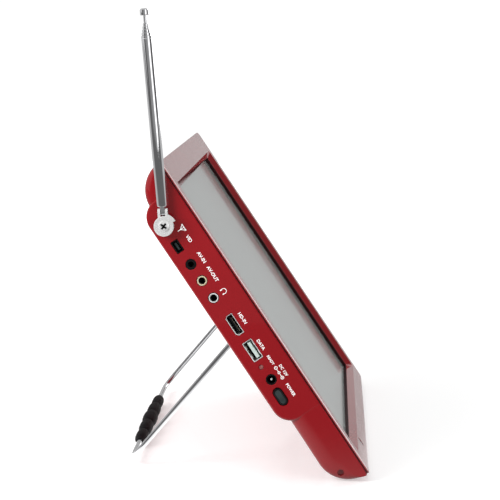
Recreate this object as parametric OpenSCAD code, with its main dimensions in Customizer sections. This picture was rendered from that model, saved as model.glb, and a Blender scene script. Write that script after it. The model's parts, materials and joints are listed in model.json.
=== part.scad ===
// Portable disc player with a built-in television screen: a reclined slab on a wire stand.
// World frame: +X to the viewer's right, the screen faces -Y, +Z up, the foot rests on z = 0.
// Body frame: x across, y up the screen face, z out of the face (the face is z = 0).

/* [Body] */
// Width of the case
body_w = 370; // [366:1:380]
// Height of the screen face
face_h = 243; // [241:1:246]
// Depth of the raised back slab behind the face
slab_t = 30.2; // [29.8:0.1:31.2]
// Radius of the rounded bottom edge and of the rounded top edge
edge_r = 22; // [21.5:0.1:22.4]
// Lean of the face from horizontal, in degrees
recline = 56.2; // [55:0.1:58]
// Wall thickness of the case
wall = 2.2; // [1.8:0.1:2.4]
// Step between the slab's side walls and the rounded ends' side walls
side_step = 0.8; // [0.4:0.1:1.2]
// Thickness of the front frame at its rim
rim_t = 2.5; // [2:0.1:3]
// Height of the rubber foot under the bottom edge
foot_h = 1; // [0.6:0.1:1.5]

/* [Screen] */
// Width of the picture opening
view_w = 334; // [326:1:336]
// Height of the picture opening
view_h = 204.3; // [200:0.1:205]
// Distance from the bottom edge to the picture opening
view_y = 17; // [16.5:0.1:18]
// Depth of the glass below the face
glass_n = 6.5; // [6:0.1:6.7]

/* [Wire stand] */
// Distance between the two legs, centre to centre
stand_w = 290; // [280:1:298]
// Leg length from the pivot to the grip
leg_len = 110; // [108:0.5:112]
// Angle between a leg and the back when the stand is open
stand_open = 74; // [73:0.5:76]
// Wire diameter
wire_d = 3.6; // [3.2:0.1:3.8]
// Length of the moulded grip
grip_len = 168; // [150:1:180]

/* [Antenna] */
// Diameter of the outermost antenna tube
mast_d = 7; // [6.6:0.1:7.2]
// Length of each antenna section
mast_len = 109; // [90:1:112]
// Lean of the antenna from vertical, towards the back
mast_lean = 5; // [0:0.5:8]

/* [Controls and sockets] */
// Travel of the oval power button
power_travel = 1.2; // [0.6:0.1:1.5]
// Travel of each key on the top edge
key_travel = 0.5; // [0.3:0.1:0.6]
// Number of keys on the top edge
key_count = 5; // [5:1:5]
// Hole for a 3.5 mm plug
jack_d = 3.6; // [3.55:0.01:3.7]

/* [Hidden] */

$fn = 64;
eps = 0.01;
run_gap = 0.05;                       // radial clearance of a turning or sliding fit
half_w = body_w / 2;

// Rounded bottom and top edges: centre height up the face, and centre depth behind it
bottom_y = edge_r - 1;
bottom_n = 3;
top_y = face_h - edge_r;
top_n = 1;
end_t = bottom_n + edge_r;            // depth of the case below the slab

// Raised slab across the back
slab_r = 13;
slab_y0 = 54;
slab_y1 = face_h - 19;
slab_in_t = slab_t - wall;

// Sockets on the port side: height up the face and depth behind it
jack_n = 21;
jack_r = 3.5;
video_y = 191.3;
av_in_y = 176.8;
av_out_y = 164;
phone_y = 150.6;
hd_y = 128.6;
hd_n = 19.6;
data_y = 108.2;
data_n = 19;
led_y = 96;
led_n = 20.5;
dc_y = 85.6;
dc_n = 19.5;
power_y = 73;
power_n = 20.8;
strap_y = 9.6;
strap_n = 16;

// Screen stack, as depths behind the face
glass_t = 1;
lcd_n = 7.8;
lcd_t = 5.6;
frame_n = 13.6;
frame_t = 0.8;
board_n = 15;
board_t = 1.4;

// Disc deck in the slab
hub_y = 141.5;
bay_w = 140;
bay_y0 = 73;
bay_y1 = 210.4;
tray_n = 21;                          // depth of the tray's floor surface
tray_t = 1.2;
disc_n = 24.6;                        // depth of the surface that the disc rests on
hub_r = 7.4;
lid_t = 1.8;
lid_gap = 0.4;
knuckle_r = 1.4;
pin_r = 0.75;
lid_axis_y = bay_y1 - 0.35 - knuckle_r;
lid_axis_n = slab_t - knuckle_r;
rod_n = 17.6;
rod_r = 1.1;
rod_dy = 13;
screw_dy = 8;
sled_x = -22;                         // pickup position at rest, left of the hub

// Stand pivot
pivot_y = face_h - 125.6;
pivot_n = 27.6;
stub_len = 14;
wire_r = wire_d / 2;
corner_r = 14;
elbow_r = 4;
groove_n = pivot_n - wire_r - 0.4;

// Antenna pivot and sections
ant_y = face_h - 35.8;
ant_n = 21;
ant_x = -half_w - 4;                  // axis of the antenna beside the case
tilt_u = 8.9;                         // distance from the turning axis to the tilting axis
tube_u = 13;                          // where the outermost tube starts
tube_wall = 0.38;
tube_step = 0.45;                     // how much smaller each section's radius is
section_show = 2;                     // how far each section stands out when closed

// Keys along the rounded top edge, as an angle from the depth direction
key_angle = 52;
key_pitch = 17;
key_x0 = -75;

// ---- helpers ------------------------------------------------------------------------

// Points of an arc in a (y, depth) section; a depth is drawn as negative z
function arc(cy, cn, r, a0, a1, steps) = [
    for (i = [0:steps]) let (a = a0 + (a1 - a0) * i / steps)
        [cy + r * cos(a), -(cn + r * sin(a))]
];

// Section of the rounded case, shrunk by an inset, open at depth n0
function case_section(inset, n0) = let (
        r = edge_r - inset,
        a0 = 180 - asin((n0 - bottom_n) / r),
        a1 = asin((n0 - top_n) / r)
    ) concat(arc(bottom_y, bottom_n, r, a0, 90, 20), arc(top_y, top_n, r, 90, a1, 20));

// Section of the raised slab, shrunk by an inset
function slab_section(inset, n0) = concat(
    [[slab_y0 + inset, -n0]],
    arc(slab_y0 + slab_r, slab_t - slab_r, slab_r - inset, 180, 90, 12),
    arc(slab_y1 - slab_r, slab_t - slab_r, slab_r - inset, 90, 0, 12),
    [[slab_y1 - inset, -n0]]
);

// Puts a shape from the body frame into the world frame
module reclined() {
    translate([0, 0, edge_r + foot_h]) rotate([recline, 0, 0])
        translate([0, -bottom_y, bottom_n]) children();
}

// Extrudes a (y, z) section along x from x0
module across(x0, w) {
    translate([x0, 0, 0]) rotate([90, 0, 90]) linear_extrude(w) children();
}

// Box between two x, two heights up the face and two depths
module block(x0, x1, y0, y1, n0, n1) {
    translate([x0, y0, -n1]) cube([x1 - x0, y1 - y0, n1 - n0]);
}

// Cylinder along the depth direction, from depth n0 to depth n1
module post(x, y, r, n0, n1) {
    translate([x, y, -n1]) cylinder(r = r, h = n1 - n0);
}

// Cylinder along x, at height y and depth n
module peg(x0, x1, y, n, r) {
    translate([x0, y, -n]) rotate([0, 90, 0]) cylinder(r = r, h = x1 - x0);
}

// Rounded bar along the face, standing out of the port side, with w up the face and h in depth
module side_slot(x0, x1, y, n, w, h) {
    peg(x0, x1, y - (w - h) / 2, n, h / 2);
    peg(x0, x1, y + (w - h) / 2, n, h / 2);
    block(x0, x1, y - (w - h) / 2, y + (w - h) / 2, n - h / 2, n + h / 2);
}

// Wide socket outline with its two back corners cut off
module hd_outline(x0, x1, w, h, cut) {
    across(x0, x1 - x0) polygon([
        [hd_y - w / 2, -hd_n + h / 2], [hd_y + w / 2, -hd_n + h / 2],
        [hd_y + w / 2, -hd_n - h / 2 + cut], [hd_y + w / 2 - cut, -hd_n - h / 2],
        [hd_y - w / 2 + cut, -hd_n - h / 2], [hd_y - w / 2, -hd_n - h / 2 + cut]
    ]);
}

// Places a shape drawn around the antenna's turning axis, with z along the mast
module at_antenna() {
    reclined() translate([ant_x, ant_y, -ant_n])
        rotate([-recline, 0, 0]) rotate([-mast_lean, 0, 0]) children();
}

// Places a shape drawn around the stand's pivot line, with y along the legs
module at_stand() {
    reclined() translate([0, pivot_y, -pivot_n]) rotate([stand_open - 180, 0, 0])
        mirror([0, 0, 1]) children();
}

// Places a shape on the rounded top edge, with z pointing out of the surface
module at_key(x) {
    translate([x, top_y, -top_n]) rotate([key_angle - 180, 0, 0]) translate([0, 0, edge_r])
        children();
}

screw_spots = [[-175, 36], [175, 36], [-175, 229], [175, 229], [-95, 232], [95, 232]];
speaker_x = 128;
speaker_y = 37;
speaker_r = 14;

// ---- case ---------------------------------------------------------------------------

module front_bezel() {
    inner_w = view_w / 2 + 4;
    color("firebrick") reclined() {
        difference() {
            union() {
                intersection() {
                    block(-half_w, half_w, -2, face_h + 2, 0, rim_t);
                    across(-half_w, body_w) polygon(case_section(0, 0));
                }
                block(-inner_w, inner_w, view_y - 4, view_y + view_h + 4, rim_t - eps, glass_n - 0.1);
            }
            translate([-view_w / 2, view_y, -glass_n - 1]) cube([view_w, view_h, glass_n + 2]);
            bevel();
            block(-126, -118, 5.5, 11.5, -1, rim_t - 1);
        }
    }
}

// Sloped inner edge of the front frame
module bevel() {
    slope = 4;
    x = view_w / 2;
    y0 = view_y;
    y1 = view_y + view_h;
    polyhedron(
        points = [
            [-x, y0, -slope - 0.3], [x, y0, -slope - 0.3], [x, y1, -slope - 0.3], [-x, y1, -slope - 0.3],
            [-x - slope, y0 - slope, 0.3], [x + slope, y0 - slope, 0.3],
            [x + slope, y1 + slope, 0.3], [-x - slope, y1 + slope, 0.3]
        ],
        faces = [[0, 1, 2, 3], [7, 6, 5, 4], [4, 5, 1, 0], [5, 6, 2, 1], [6, 7, 3, 2], [7, 4, 0, 3]]
    );
}

module screen_glass() {
    color("silver") reclined()
        block(-view_w / 2 - 3, view_w / 2 + 3, view_y - 3, view_y + view_h + 3,
              glass_n, glass_n + glass_t);
}

module lcd_panel() {
    color("dimgray") reclined()
        block(-view_w / 2 - 2, view_w / 2 + 2, view_y - 5, view_y + view_h + 4, lcd_n, lcd_n + lcd_t);
}

module panel_frame() {
    color("silver") reclined() difference() {
        block(-view_w / 2 - 5, view_w / 2 + 5, view_y - 6, view_y + view_h + 5,
              frame_n, frame_n + frame_t);
        block(-view_w / 2 + 14, view_w / 2 - 14, view_y + 12, view_y + view_h - 12,
              frame_n - 1, frame_n + frame_t + 1);
    }
}

module rear_cover() {
    end_w = half_w - side_step;
    in_w = end_w - wall;
    color("firebrick") reclined() difference() {
        union() {
            across(-end_w, 2 * end_w) polygon(case_section(0, rim_t));
            across(-half_w, body_w) polygon(slab_section(0, rim_t));
        }
        difference() {
            union() {
                across(-in_w, 2 * in_w) polygon(case_section(wall, rim_t - 1));
                across(-in_w, 2 * in_w) polygon(slab_section(wall, rim_t - 1));
            }
            cover_bosses();
        }
        cover_holes();
        side_holes();
    }
}

// Solid places that stay inside the rear cover
module cover_bosses() {
    for (s = [-1, 1]) {
        block(s * 151 - 12, s * 151 + 12, slab_y0, pivot_y + 8, groove_n - 2, slab_t);
        peg(s * (half_w - 3) - 3, s * (half_w - 3) + 3, strap_y, strap_n, 4.2);
    }
    for (p = screw_spots) post(p[0], p[1], 4, 16, slab_t);
    post(0, bay_y0 - 8, 7, 24, slab_t);
}

// Openings in the back wall of the rear cover
module cover_holes() {
    block(-bay_w / 2, bay_w / 2, bay_y0, bay_y1, tray_n - 2, slab_t + 1);
    peg(-bay_w / 2 - 3, bay_w / 2 + 3, lid_axis_y, lid_axis_n, pin_r + run_gap);
    post(0, bay_y0 - 8, 5, 20, slab_t + 1);
    for (p = screw_spots) {
        post(p[0], p[1], 1.7, 15, slab_t);
        post(p[0], p[1], 3.1, 17.8, slab_t);
    }
    for (s = [-1, 1]) {
        block(s * stand_w / 2 - 3, s * stand_w / 2 + 3, slab_y0 - 2, pivot_y + 1.9,
              groove_n, slab_t + 1);
        block(s * 155.5 - 13, s * 155.5 + 13, pivot_y - 6, pivot_y + 6, groove_n, slab_t + 1);
        for (i = [-3:3])
            block(s * speaker_x - 11, s * speaker_x + 11, speaker_y + 4 * i - 0.9,
                  speaker_y + 4 * i + 0.9, speaker_r + 6, slab_t);
    }
    for (i = [0:key_count - 1])
        at_key(key_x0 + i * key_pitch) translate([-5.6, -2.4, -4]) cube([11.2, 4.8, 6]);
}

// Openings in the side walls of the rear cover
module side_holes() {
    x0 = -half_w - 1;
    x1 = -half_w + 4;
    for (y = [av_in_y, av_out_y, phone_y]) peg(x0, x1, y, jack_n, jack_r + 0.1);
    peg(x0, x1, dc_y, dc_n, 3.6);
    peg(x0, x1, led_y, led_n, 1.6);
    peg(x0, x1, ant_y, ant_n, 1.9);
    block(x0, x1, video_y - 4.4, video_y + 4.4, jack_n + 0.9 - 2.7, jack_n + 0.9 + 2.7);
    block(x0, x1, data_y - 7.3, data_y + 7.3, data_n - 3.6, data_n + 3.6);
    hd_outline(x0, x1, 15.3, 5.9, 1.6);
    side_slot(x0, x1, power_y, power_n, 16, 9.2);
    for (s = [-1, 1]) peg(s * (half_w - 1.5) - 2.5, s * (half_w - 1.5) + 2.5, strap_y, strap_n, 2.2);
}

module foot_strip() {
    half_a = 14;
    foot_w = 250;
    color("black") translate([-foot_w / 2, 0, 0]) rotate([90, 0, 90]) linear_extrude(foot_w)
        polygon(concat(
            [[4.2, 0], [-4.2, 0]],
            [for (i = [0:8]) let (a = -90 - half_a + 2 * half_a * i / 8)
                [(edge_r + eps) * cos(a), edge_r + foot_h + (edge_r + eps) * sin(a)]]
        ));
}

module ir_window() {
    color("dimgray") reclined() block(-125.9, -118.1, 5.6, 11.4, 0.1, rim_t - 1);
}

module case_screws() {
    color("dimgray") reclined() for (p = screw_spots) difference() {
        union() {
            post(p[0], p[1], 1.4, 7.8, 16);
            post(p[0], p[1], 1.4, 16, 18);
            post(p[0], p[1], 2.8, 18, 19.4);
        }
        post(p[0], p[1], 0.9, 18.6, 20);
    }
}

// ---- electronics --------------------------------------------------------------------

module main_board() {
    color("darkgreen") reclined() difference() {
        block(-178, -84, 62, 214, board_n, board_n + board_t);
        block(-179, -168, data_y - 7.6, data_y + 7.6, board_n - 1, board_n + board_t + 1);
        block(-179, -169, dc_y - 5, dc_y + 5, board_n - 1, board_n + board_t + 1);
        block(-179, -168, power_y - 8.5, power_y + 8.5, board_n - 1, board_n + board_t + 1);
    }
}

module tuner_can() {
    color("silver") reclined() difference() {
        block(-168, -132, 196, 212, board_n + board_t, board_n + board_t + 7);
        block(-165, -135, 199, 209, board_n + board_t + 6.6, board_n + board_t + 8);
    }
}

module backlight_board() {
    color("darkgreen") reclined() {
        block(-62, 62, 18, 46, board_n, board_n + board_t);
        block(-50, -30, 24, 40, board_n + board_t, board_n + 6.5);
        block(20, 44, 24, 40, board_n + board_t, board_n + 5.5);
    }
}

module battery_pack() {
    color("royalblue") reclined() block(86, 138, 76, 206, board_n, board_n + 11);
}

module speaker_unit(x) {
    color("dimgray") reclined() difference() {
        union() {
            post(x, speaker_y, speaker_r, 20.6, 22.4);
            post(x, speaker_y, speaker_r - 4, 15, 20.6);
        }
        post(x, speaker_y, speaker_r - 3, 21.6, 23);
    }
}

module speaker_left() {
    speaker_unit(-speaker_x);
}

module speaker_right() {
    speaker_unit(speaker_x);
}

// ---- sockets and controls on the port side ------------------------------------------

module video_port() {
    x = -half_w + 0.3;
    n = jack_n + 0.9;
    color("black") reclined() difference() {
        block(x, x + 9, video_y - 4.2, video_y + 4.2, n - 2.5, n + 2.5);
        block(x - 1, x + 5, video_y - 3.5, video_y + 3.5, n - 1.8, n + 1.8);
    }
}

// Round socket with a plug hole, standing on the board
module jack(y) {
    difference() {
        union() {
            peg(-half_w + 0.2, -half_w + 4, y, jack_n, jack_r);
            block(-half_w + 4, -half_w + 18, y - 4, y + 4, board_n + board_t + eps, jack_n + 4);
        }
        peg(-half_w - 1, -half_w + 16, y, jack_n, jack_d / 2);
    }
}

// Metal ring around a round socket
module jack_ring(y) {
    difference() {
        peg(-half_w - 0.2, -half_w + 1.2, y, jack_n, 3.2);
        peg(-half_w - 1, -half_w + 2, y, jack_n, 2.3);
    }
}

module av_in_jack() {
    color("black") reclined() jack(av_in_y);
}

module av_out_jack() {
    color("black") reclined() difference() {
        jack(av_out_y);
        peg(-half_w - 1, -half_w + 1.2, av_out_y, jack_n, 3.2);
    }
}

module av_out_ring() {
    color("gold") reclined() jack_ring(av_out_y);
}

module headphone_jack() {
    color("black") reclined() difference() {
        jack(phone_y);
        peg(-half_w - 1, -half_w + 1.2, phone_y, jack_n, 3.2);
    }
}

module headphone_ring() {
    color("silver") reclined() jack_ring(phone_y);
}

module hd_port() {
    color("silver") reclined() difference() {
        hd_outline(-half_w + 0.2, -half_w + 12, 15, 5.6, 1.5);
        hd_outline(-half_w - 1, -half_w + 11, 14, 4.6, 1.3);
    }
}

module hd_port_tongue() {
    color("black") reclined()
        block(-half_w + 1, -half_w + 11, hd_y - 5.6, hd_y + 5.6, hd_n - 0.5, hd_n + 0.5);
}

module data_port() {
    color("silver") reclined() difference() {
        block(-half_w + 0.2, -half_w + 15, data_y - 7.15, data_y + 7.15, data_n - 3.5, data_n + 3.5);
        block(-half_w - 1, -half_w + 14, data_y - 6.6, data_y + 6.6, data_n - 2.9, data_n + 2.9);
    }
}

module data_port_tongue() {
    color("white") reclined()
        block(-half_w + 1.2, -half_w + 14, data_y - 5.6, data_y + 5.6, data_n - 2.2, data_n - 0.4);
}

module status_led() {
    color("indianred") reclined() {
        peg(-half_w + 0.4, -half_w + 4, led_y, led_n, 1.5);
        peg(-half_w + 4, -half_w + 5, led_y, led_n, 1.9);
    }
}

module dc_jack() {
    color("black") reclined() difference() {
        union() {
            peg(-half_w + 0.2, -half_w + 4, dc_y, dc_n, 3.5);
            block(-half_w + 4, -half_w + 15, dc_y - 4.5, dc_y + 4.5, dc_n - 4.3, dc_n + 4.3);
        }
        peg(-half_w - 1, -half_w + 12, dc_y, dc_n, 2.75);
    }
}

module dc_pin() {
    color("silver") reclined() peg(-half_w + 1.4, -half_w + 12, dc_y, dc_n, 0.65);
}

module button_well() {
    color("black") reclined() difference() {
        side_slot(-half_w + 0.1, -half_w + 6, power_y, power_n, 15.8, 9);
        side_slot(-half_w - 1, -half_w + 4.5, power_y, power_n, 12.6, 6.2);
        block(-half_w + 4, -half_w + 7, power_y - 2.2, power_y + 2.2, power_n - 2.2, power_n + 2.2);
    }
}

module power_switch() {
    color("black") reclined()
        block(-half_w + 6 + power_travel, -half_w + 14, power_y - 6, power_y + 6,
              power_n - 3.5, power_n + 3.5);
}

module power_button() {
    color("dimgray") reclined() {
        side_slot(-half_w - 0.8, -half_w + 2.6, power_y, power_n, 11.9, 5.5);
        block(-half_w + 2.6, -half_w + 5.9, power_y - 1.8, power_y + 1.8, power_n - 1.8, power_n + 1.8);
    }
}

module key_board() {
    color("darkgreen") reclined() translate([key_x0 - 12, 0, 0])
        intersection() {
            at_key(0) translate([0, -4, -8.2]) cube([key_pitch * (key_count - 1) + 24, 8, 1.2]);
            block(-1, 200, 200, face_h, 2, slab_t);
        }
}

module key(i) {
    color("dimgray") reclined() at_key(key_x0 + (i - 1) * key_pitch) {
        translate([-5.2, -2, -3]) cube([10.4, 4, 3.7]);
        translate([-1, -1, -6.3]) cube([2, 2, 3.4]);
    }
}

module key_1() {
    key(1);
}

module key_2() {
    key(2);
}

module key_3() {
    key(3);
}

module key_4() {
    key(4);
}

module key_5() {
    key(5);
}

// ---- disc deck ----------------------------------------------------------------------

module deck_tray() {
    out = 1.6;
    wall_n = slab_in_t - 0.1;
    color("black") reclined() difference() {
        block(-bay_w / 2 - out, bay_w / 2 + out, bay_y0 - out, bay_y1 + out, tray_n - tray_t, wall_n);
        block(-bay_w / 2, bay_w / 2, bay_y0, bay_y1, tray_n, slab_t);
        post(0, hub_y, 10, tray_n - 4, tray_n + 4);
        block(-64, -12, hub_y - 9, hub_y + 9, tray_n - 4, tray_n + 4);
    }
}

module guide_rods() {
    color("silver") reclined() for (s = [-1, 1])
        peg(-67, -8, hub_y + s * rod_dy, rod_n, rod_r);
}

module spindle_motor() {
    color("silver") reclined() difference() {
        union() {
            post(0, hub_y, 11.5, 14.8, 19.7);
            post(0, hub_y, 9, 19.7, 21.4);
        }
        post(0, hub_y, 1 + run_gap, 15.5, 22);
    }
}

module disc_hub() {
    color("gray") reclined() {
        post(0, hub_y, 1, 16, 22);
        post(0, hub_y, 13, 22, disc_n);
        post(0, hub_y, hub_r, disc_n, disc_n + 2);
        translate([0, hub_y, -disc_n - 2.6]) cylinder(r1 = hub_r - 1.2, r2 = hub_r, h = 0.6, $fn = 48);
    }
}

module pickup_sled() {
    color("dimgray") reclined() difference() {
        union() {
            block(sled_x - 8, sled_x + 8, hub_y - rod_dy - 2.4, hub_y + rod_dy + 2.4, 15.4, 19.6);
            block(sled_x - 7, sled_x + 7, hub_y - 7.5, hub_y + 7.5, 19.5, 21.6);
        }
        for (s = [-1, 1]) peg(sled_x - 10, sled_x + 10, hub_y + s * rod_dy, rod_n, rod_r + run_gap);
        peg(sled_x - 10, sled_x + 10, hub_y - screw_dy, rod_n, 1.5 + run_gap);
    }
}

module pickup_lens() {
    color("lightblue") reclined() post(sled_x, hub_y, 2.6, 21.6, 22.6);
}

module lead_screw() {
    color("silver") reclined() peg(-66, -14, hub_y - screw_dy, rod_n, 1.5);
}

module sled_motor() {
    color("silver") reclined() {
        peg(-84, -72, hub_y - screw_dy, rod_n, 2.7);
        peg(-72, -66.3, hub_y - screw_dy, rod_n, 1);
    }
}

module disc_lid() {
    x = bay_w / 2 - lid_gap;
    color("firebrick") reclined() difference() {
        union() {
            block(-x, x, bay_y0 + lid_gap, lid_axis_y, slab_t - lid_t, slab_t);
            peg(-x, x, lid_axis_y, lid_axis_n, knuckle_r);
        }
        peg(-x - 1, x + 1, lid_axis_y, lid_axis_n, pin_r + run_gap);
    }
}

module lid_pin() {
    color("silver") reclined() peg(-bay_w / 2 - 2.9, bay_w / 2 + 2.9, lid_axis_y, lid_axis_n, pin_r);
}

module open_button() {
    color("dimgray") reclined() {
        post(0, bay_y0 - 8, 4.6, 26, slab_t - 0.3);
        post(0, bay_y0 - 8, 1.6, 22.5, 26);
    }
}

// ---- wire stand ---------------------------------------------------------------------

module stand_brackets() {
    color("dimgray") reclined() for (s = [-1, 1]) {
        x0 = s > 0 ? stand_w / 2 + elbow_r + 0.6 : -stand_w / 2 - elbow_r - 0.6 - 11;
        difference() {
            block(x0, x0 + 11, pivot_y - 5.8, pivot_y + 5.8, groove_n + 0.1, slab_t);
            peg(x0 - 1, x0 + 12, pivot_y, pivot_n, wire_r + run_gap);
        }
    }
}

// Quarter of a ring of wire around (x, y), from the angle that it starts at
module wire_bend(x, y, r, start) {
    translate([x, y, 0]) rotate([0, 0, start]) rotate_extrude(angle = 90)
        translate([r, 0]) circle(r = wire_r);
}

module wire_stand() {
    w = stand_w / 2;
    // The straight runs are a hair thinner than the bends that they end in
    r = wire_r - 0.02;
    lap = 0.05;
    color("silver") at_stand() {
        for (s = [-1, 1]) {
            translate([s * (w + stub_len), 0, 0]) rotate([0, -s * 90, 0])
                cylinder(r = r, h = stub_len - elbow_r + lap);
            wire_bend(s * (w + elbow_r), elbow_r, elbow_r, s > 0 ? 180 : 270);
            translate([s * w, elbow_r - lap, 0]) rotate([-90, 0, 0])
                cylinder(r = r, h = leg_len - elbow_r - corner_r + 2 * lap);
            wire_bend(s * (w - corner_r), leg_len - corner_r, corner_r, s > 0 ? 0 : 90);
        }
        translate([corner_r - w - lap, leg_len, 0]) rotate([0, 90, 0])
            cylinder(r = r, h = 2 * (w - corner_r + lap));
    }
}

module stand_grip() {
    bead_l = grip_len / 5;
    big = stand_axis_z();
    color("black") at_stand() translate([-grip_len / 2, leg_len, 0]) rotate([0, 90, 0])
        difference() {
            rotate_extrude() polygon(concat(
                [[0, 0]],
                [for (b = [0:4]) for (i = [0:8])
                    [bead_r(b, big) - 1.5 * pow(abs(i - 4) / 4, 2.4), bead_l * (b + i / 8.3)]],
                [[0, grip_len - 0.5]]
            ));
            translate([0, 0, -1]) cylinder(r = wire_r, h = grip_len + 2);
        }
}

// Radius of one bead of the grip: the middle bead is the one that touches the table
function bead_r(b, big) = big - 0.55 * abs(b - 2);

// Height of the grip's axis above the table
function stand_axis_z() = let (
        y = pivot_y - leg_len * cos(stand_open) - bottom_y,
        n = pivot_n + leg_len * sin(stand_open) - bottom_n
    ) edge_r + foot_h + y * sin(recline) - n * cos(recline);

// ---- antenna ------------------------------------------------------------------------

module antenna_screw() {
    color("silver") reclined() {
        peg(ant_x - 3, -half_w + 8, ant_y, ant_n, 1.5);
        difference() {
            peg(ant_x - 4.3, ant_x - 2.9, ant_y, ant_n, 3.7);
            for (a = [0, 90]) translate([ant_x - 5, ant_y, -ant_n]) rotate([a + 20, 0, 0])
                translate([0, -2, -0.35]) cube([1.4, 4, 0.7]);
        }
    }
}

module antenna_knuckle() {
    color("silver") at_antenna() difference() {
        union() {
            translate([-2.5, 0, 0]) rotate([0, 90, 0]) cylinder(r = 6.5, h = 5.9);
            intersection() {
                translate([1.8, 0, 0]) rotate([0, 90, 0]) cylinder(r = 8.2, h = 1.6);
                translate([0, -9, 2.4]) cube([4, 6.4, 6]);
            }
            for (s = [-1, 1]) intersection() {
                translate([-3.3, s > 0 ? 1.5 : -3.3, 0]) cube([6.6, 1.8, tilt_u + 3]);
                union() {
                    cylinder(r = 3.3, h = tilt_u);
                    translate([0, -4, tilt_u]) rotate([-90, 0, 0]) cylinder(r = 2.6, h = 8);
                }
            }
        }
        translate([-4, 0, 0]) rotate([0, 90, 0]) cylinder(r = 1.5 + run_gap, h = 8);
        translate([-4, 0, 0]) rotate([0, 90, 0]) cylinder(r = 3.8, h = 1.5);
        translate([0, -4, tilt_u]) rotate([-90, 0, 0]) cylinder(r = 0.9, h = 8);
    }
}

module tilt_pin() {
    color("dimgray") at_antenna() translate([0, -3.2, tilt_u]) rotate([-90, 0, 0])
        cylinder(r = 0.9, h = 6.4);
}

// One antenna section: outer radius, start, end, and whether it is a solid rod
module section(r, u0, u1, solid) {
    difference() {
        translate([0, 0, u0]) cylinder(r = r, h = u1 - u0);
        if (!solid) translate([0, 0, u0 + 1]) cylinder(r = r - tube_wall, h = u1 - u0);
    }
}

function mast_r(k) = mast_d / 2 - tube_step * (k - 1);
function mast_top(k) = tube_u + mast_len + section_show * (k - 1);

module antenna_tube_1() {
    color("silver") at_antenna() {
        section(mast_r(1), tube_u, mast_top(1), false);
        difference() {
            union() {
                translate([0, 0, tilt_u + 3.1]) cylinder(r = 3.3, h = tube_u - tilt_u - 3.1 + eps);
                intersection() {
                    translate([-3.2, -1.45, tilt_u - 2.4]) cube([6.4, 2.9, 6]);
                    union() {
                        translate([0, -2, tilt_u]) rotate([-90, 0, 0]) cylinder(r = 2.1, h = 4);
                        translate([-2.1, -2, tilt_u]) cube([4.2, 4, 5]);
                    }
                }
            }
            translate([0, -4, tilt_u]) rotate([-90, 0, 0]) cylinder(r = 0.9 + run_gap, h = 8);
        }
    }
}

module antenna_tube_2() {
    color("silver") at_antenna() section(mast_r(2), tube_u + 2, mast_top(2), false);
}

module antenna_tube_3() {
    color("silver") at_antenna() section(mast_r(3), tube_u + 4, mast_top(3), false);
}

module antenna_tube_4() {
    color("silver") at_antenna() section(mast_r(4), tube_u + 6, mast_top(4), false);
}

module antenna_rod() {
    color("silver") at_antenna() {
        section(mast_r(5), tube_u + 8, mast_top(5), true);
        translate([0, 0, mast_top(5)]) cylinder(r = 1.1, h = 5);
    }
}

module antenna_tip() {
    color("silver") at_antenna() translate([0, 0, mast_top(5) + 5]) {
        cylinder(r = 2.9, h = 3);
        translate([0, 0, 3]) cylinder(r1 = 2.9, r2 = 1.6, h = 1.4, $fn = 48);
    }
}

front_bezel();
screen_glass();
lcd_panel();
panel_frame();
rear_cover();
foot_strip();
ir_window();
case_screws();
main_board();
tuner_can();
backlight_board();
battery_pack();
speaker_left();
speaker_right();
video_port();
av_in_jack();
av_out_jack();
av_out_ring();
headphone_jack();
headphone_ring();
hd_port();
hd_port_tongue();
data_port();
data_port_tongue();
status_led();
dc_jack();
dc_pin();
button_well();
power_switch();
power_button();
key_board();
key_1();
key_2();
key_3();
key_4();
key_5();
deck_tray();
guide_rods();
spindle_motor();
sled_motor();
disc_hub();
pickup_sled();
pickup_lens();
lead_screw();
disc_lid();
lid_pin();
open_button();
stand_brackets();
wire_stand();
stand_grip();
antenna_screw();
antenna_knuckle();
tilt_pin();
antenna_tube_1();
antenna_tube_2();
antenna_tube_3();
antenna_tube_4();
antenna_rod();
antenna_tip();
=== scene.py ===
"""Looks of a portable disc player with a television screen: glossy red case, wire stand, telescopic antenna.

Places are in millimetres in the body frame: x to the viewer's right, y up the screen face, n into the case.
"""
import json
import math

import bmesh
import bpy
from mathutils import Matrix, Vector


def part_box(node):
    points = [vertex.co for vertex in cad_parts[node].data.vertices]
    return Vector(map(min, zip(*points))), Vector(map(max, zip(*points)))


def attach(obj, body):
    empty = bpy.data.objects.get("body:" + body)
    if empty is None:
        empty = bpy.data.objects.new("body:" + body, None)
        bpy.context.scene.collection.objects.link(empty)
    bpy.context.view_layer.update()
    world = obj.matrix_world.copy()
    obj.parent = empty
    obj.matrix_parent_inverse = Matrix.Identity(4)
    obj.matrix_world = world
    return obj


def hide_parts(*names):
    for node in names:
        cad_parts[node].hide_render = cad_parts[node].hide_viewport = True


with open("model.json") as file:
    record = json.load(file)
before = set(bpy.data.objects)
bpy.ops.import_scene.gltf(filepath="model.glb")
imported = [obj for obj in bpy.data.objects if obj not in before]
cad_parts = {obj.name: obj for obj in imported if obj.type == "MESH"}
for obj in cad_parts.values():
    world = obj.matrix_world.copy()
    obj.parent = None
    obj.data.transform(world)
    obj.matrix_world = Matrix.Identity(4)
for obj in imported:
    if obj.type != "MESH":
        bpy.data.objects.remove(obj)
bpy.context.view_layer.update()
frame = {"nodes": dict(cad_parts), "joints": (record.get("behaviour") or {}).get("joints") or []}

MM = 0.001
NODES = frame["nodes"]
JOINTS = {j["name"]: j for j in frame["joints"]}

# ---- body frame ---------------------------------------------------------------------

X_AXIS = Vector((1, 0, 0))
DEPTH = Vector(JOINTS["disc_spin"]["axis"])     # straight out of the back
UP = X_AXIS.cross(DEPTH)                        # up the screen face
MAST = Vector(JOINTS["mast_slide_1"]["axis"])   # along the antenna
GLASS_LIFT = 14                                 # lower edge of the glass above the bottom of the face


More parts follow.
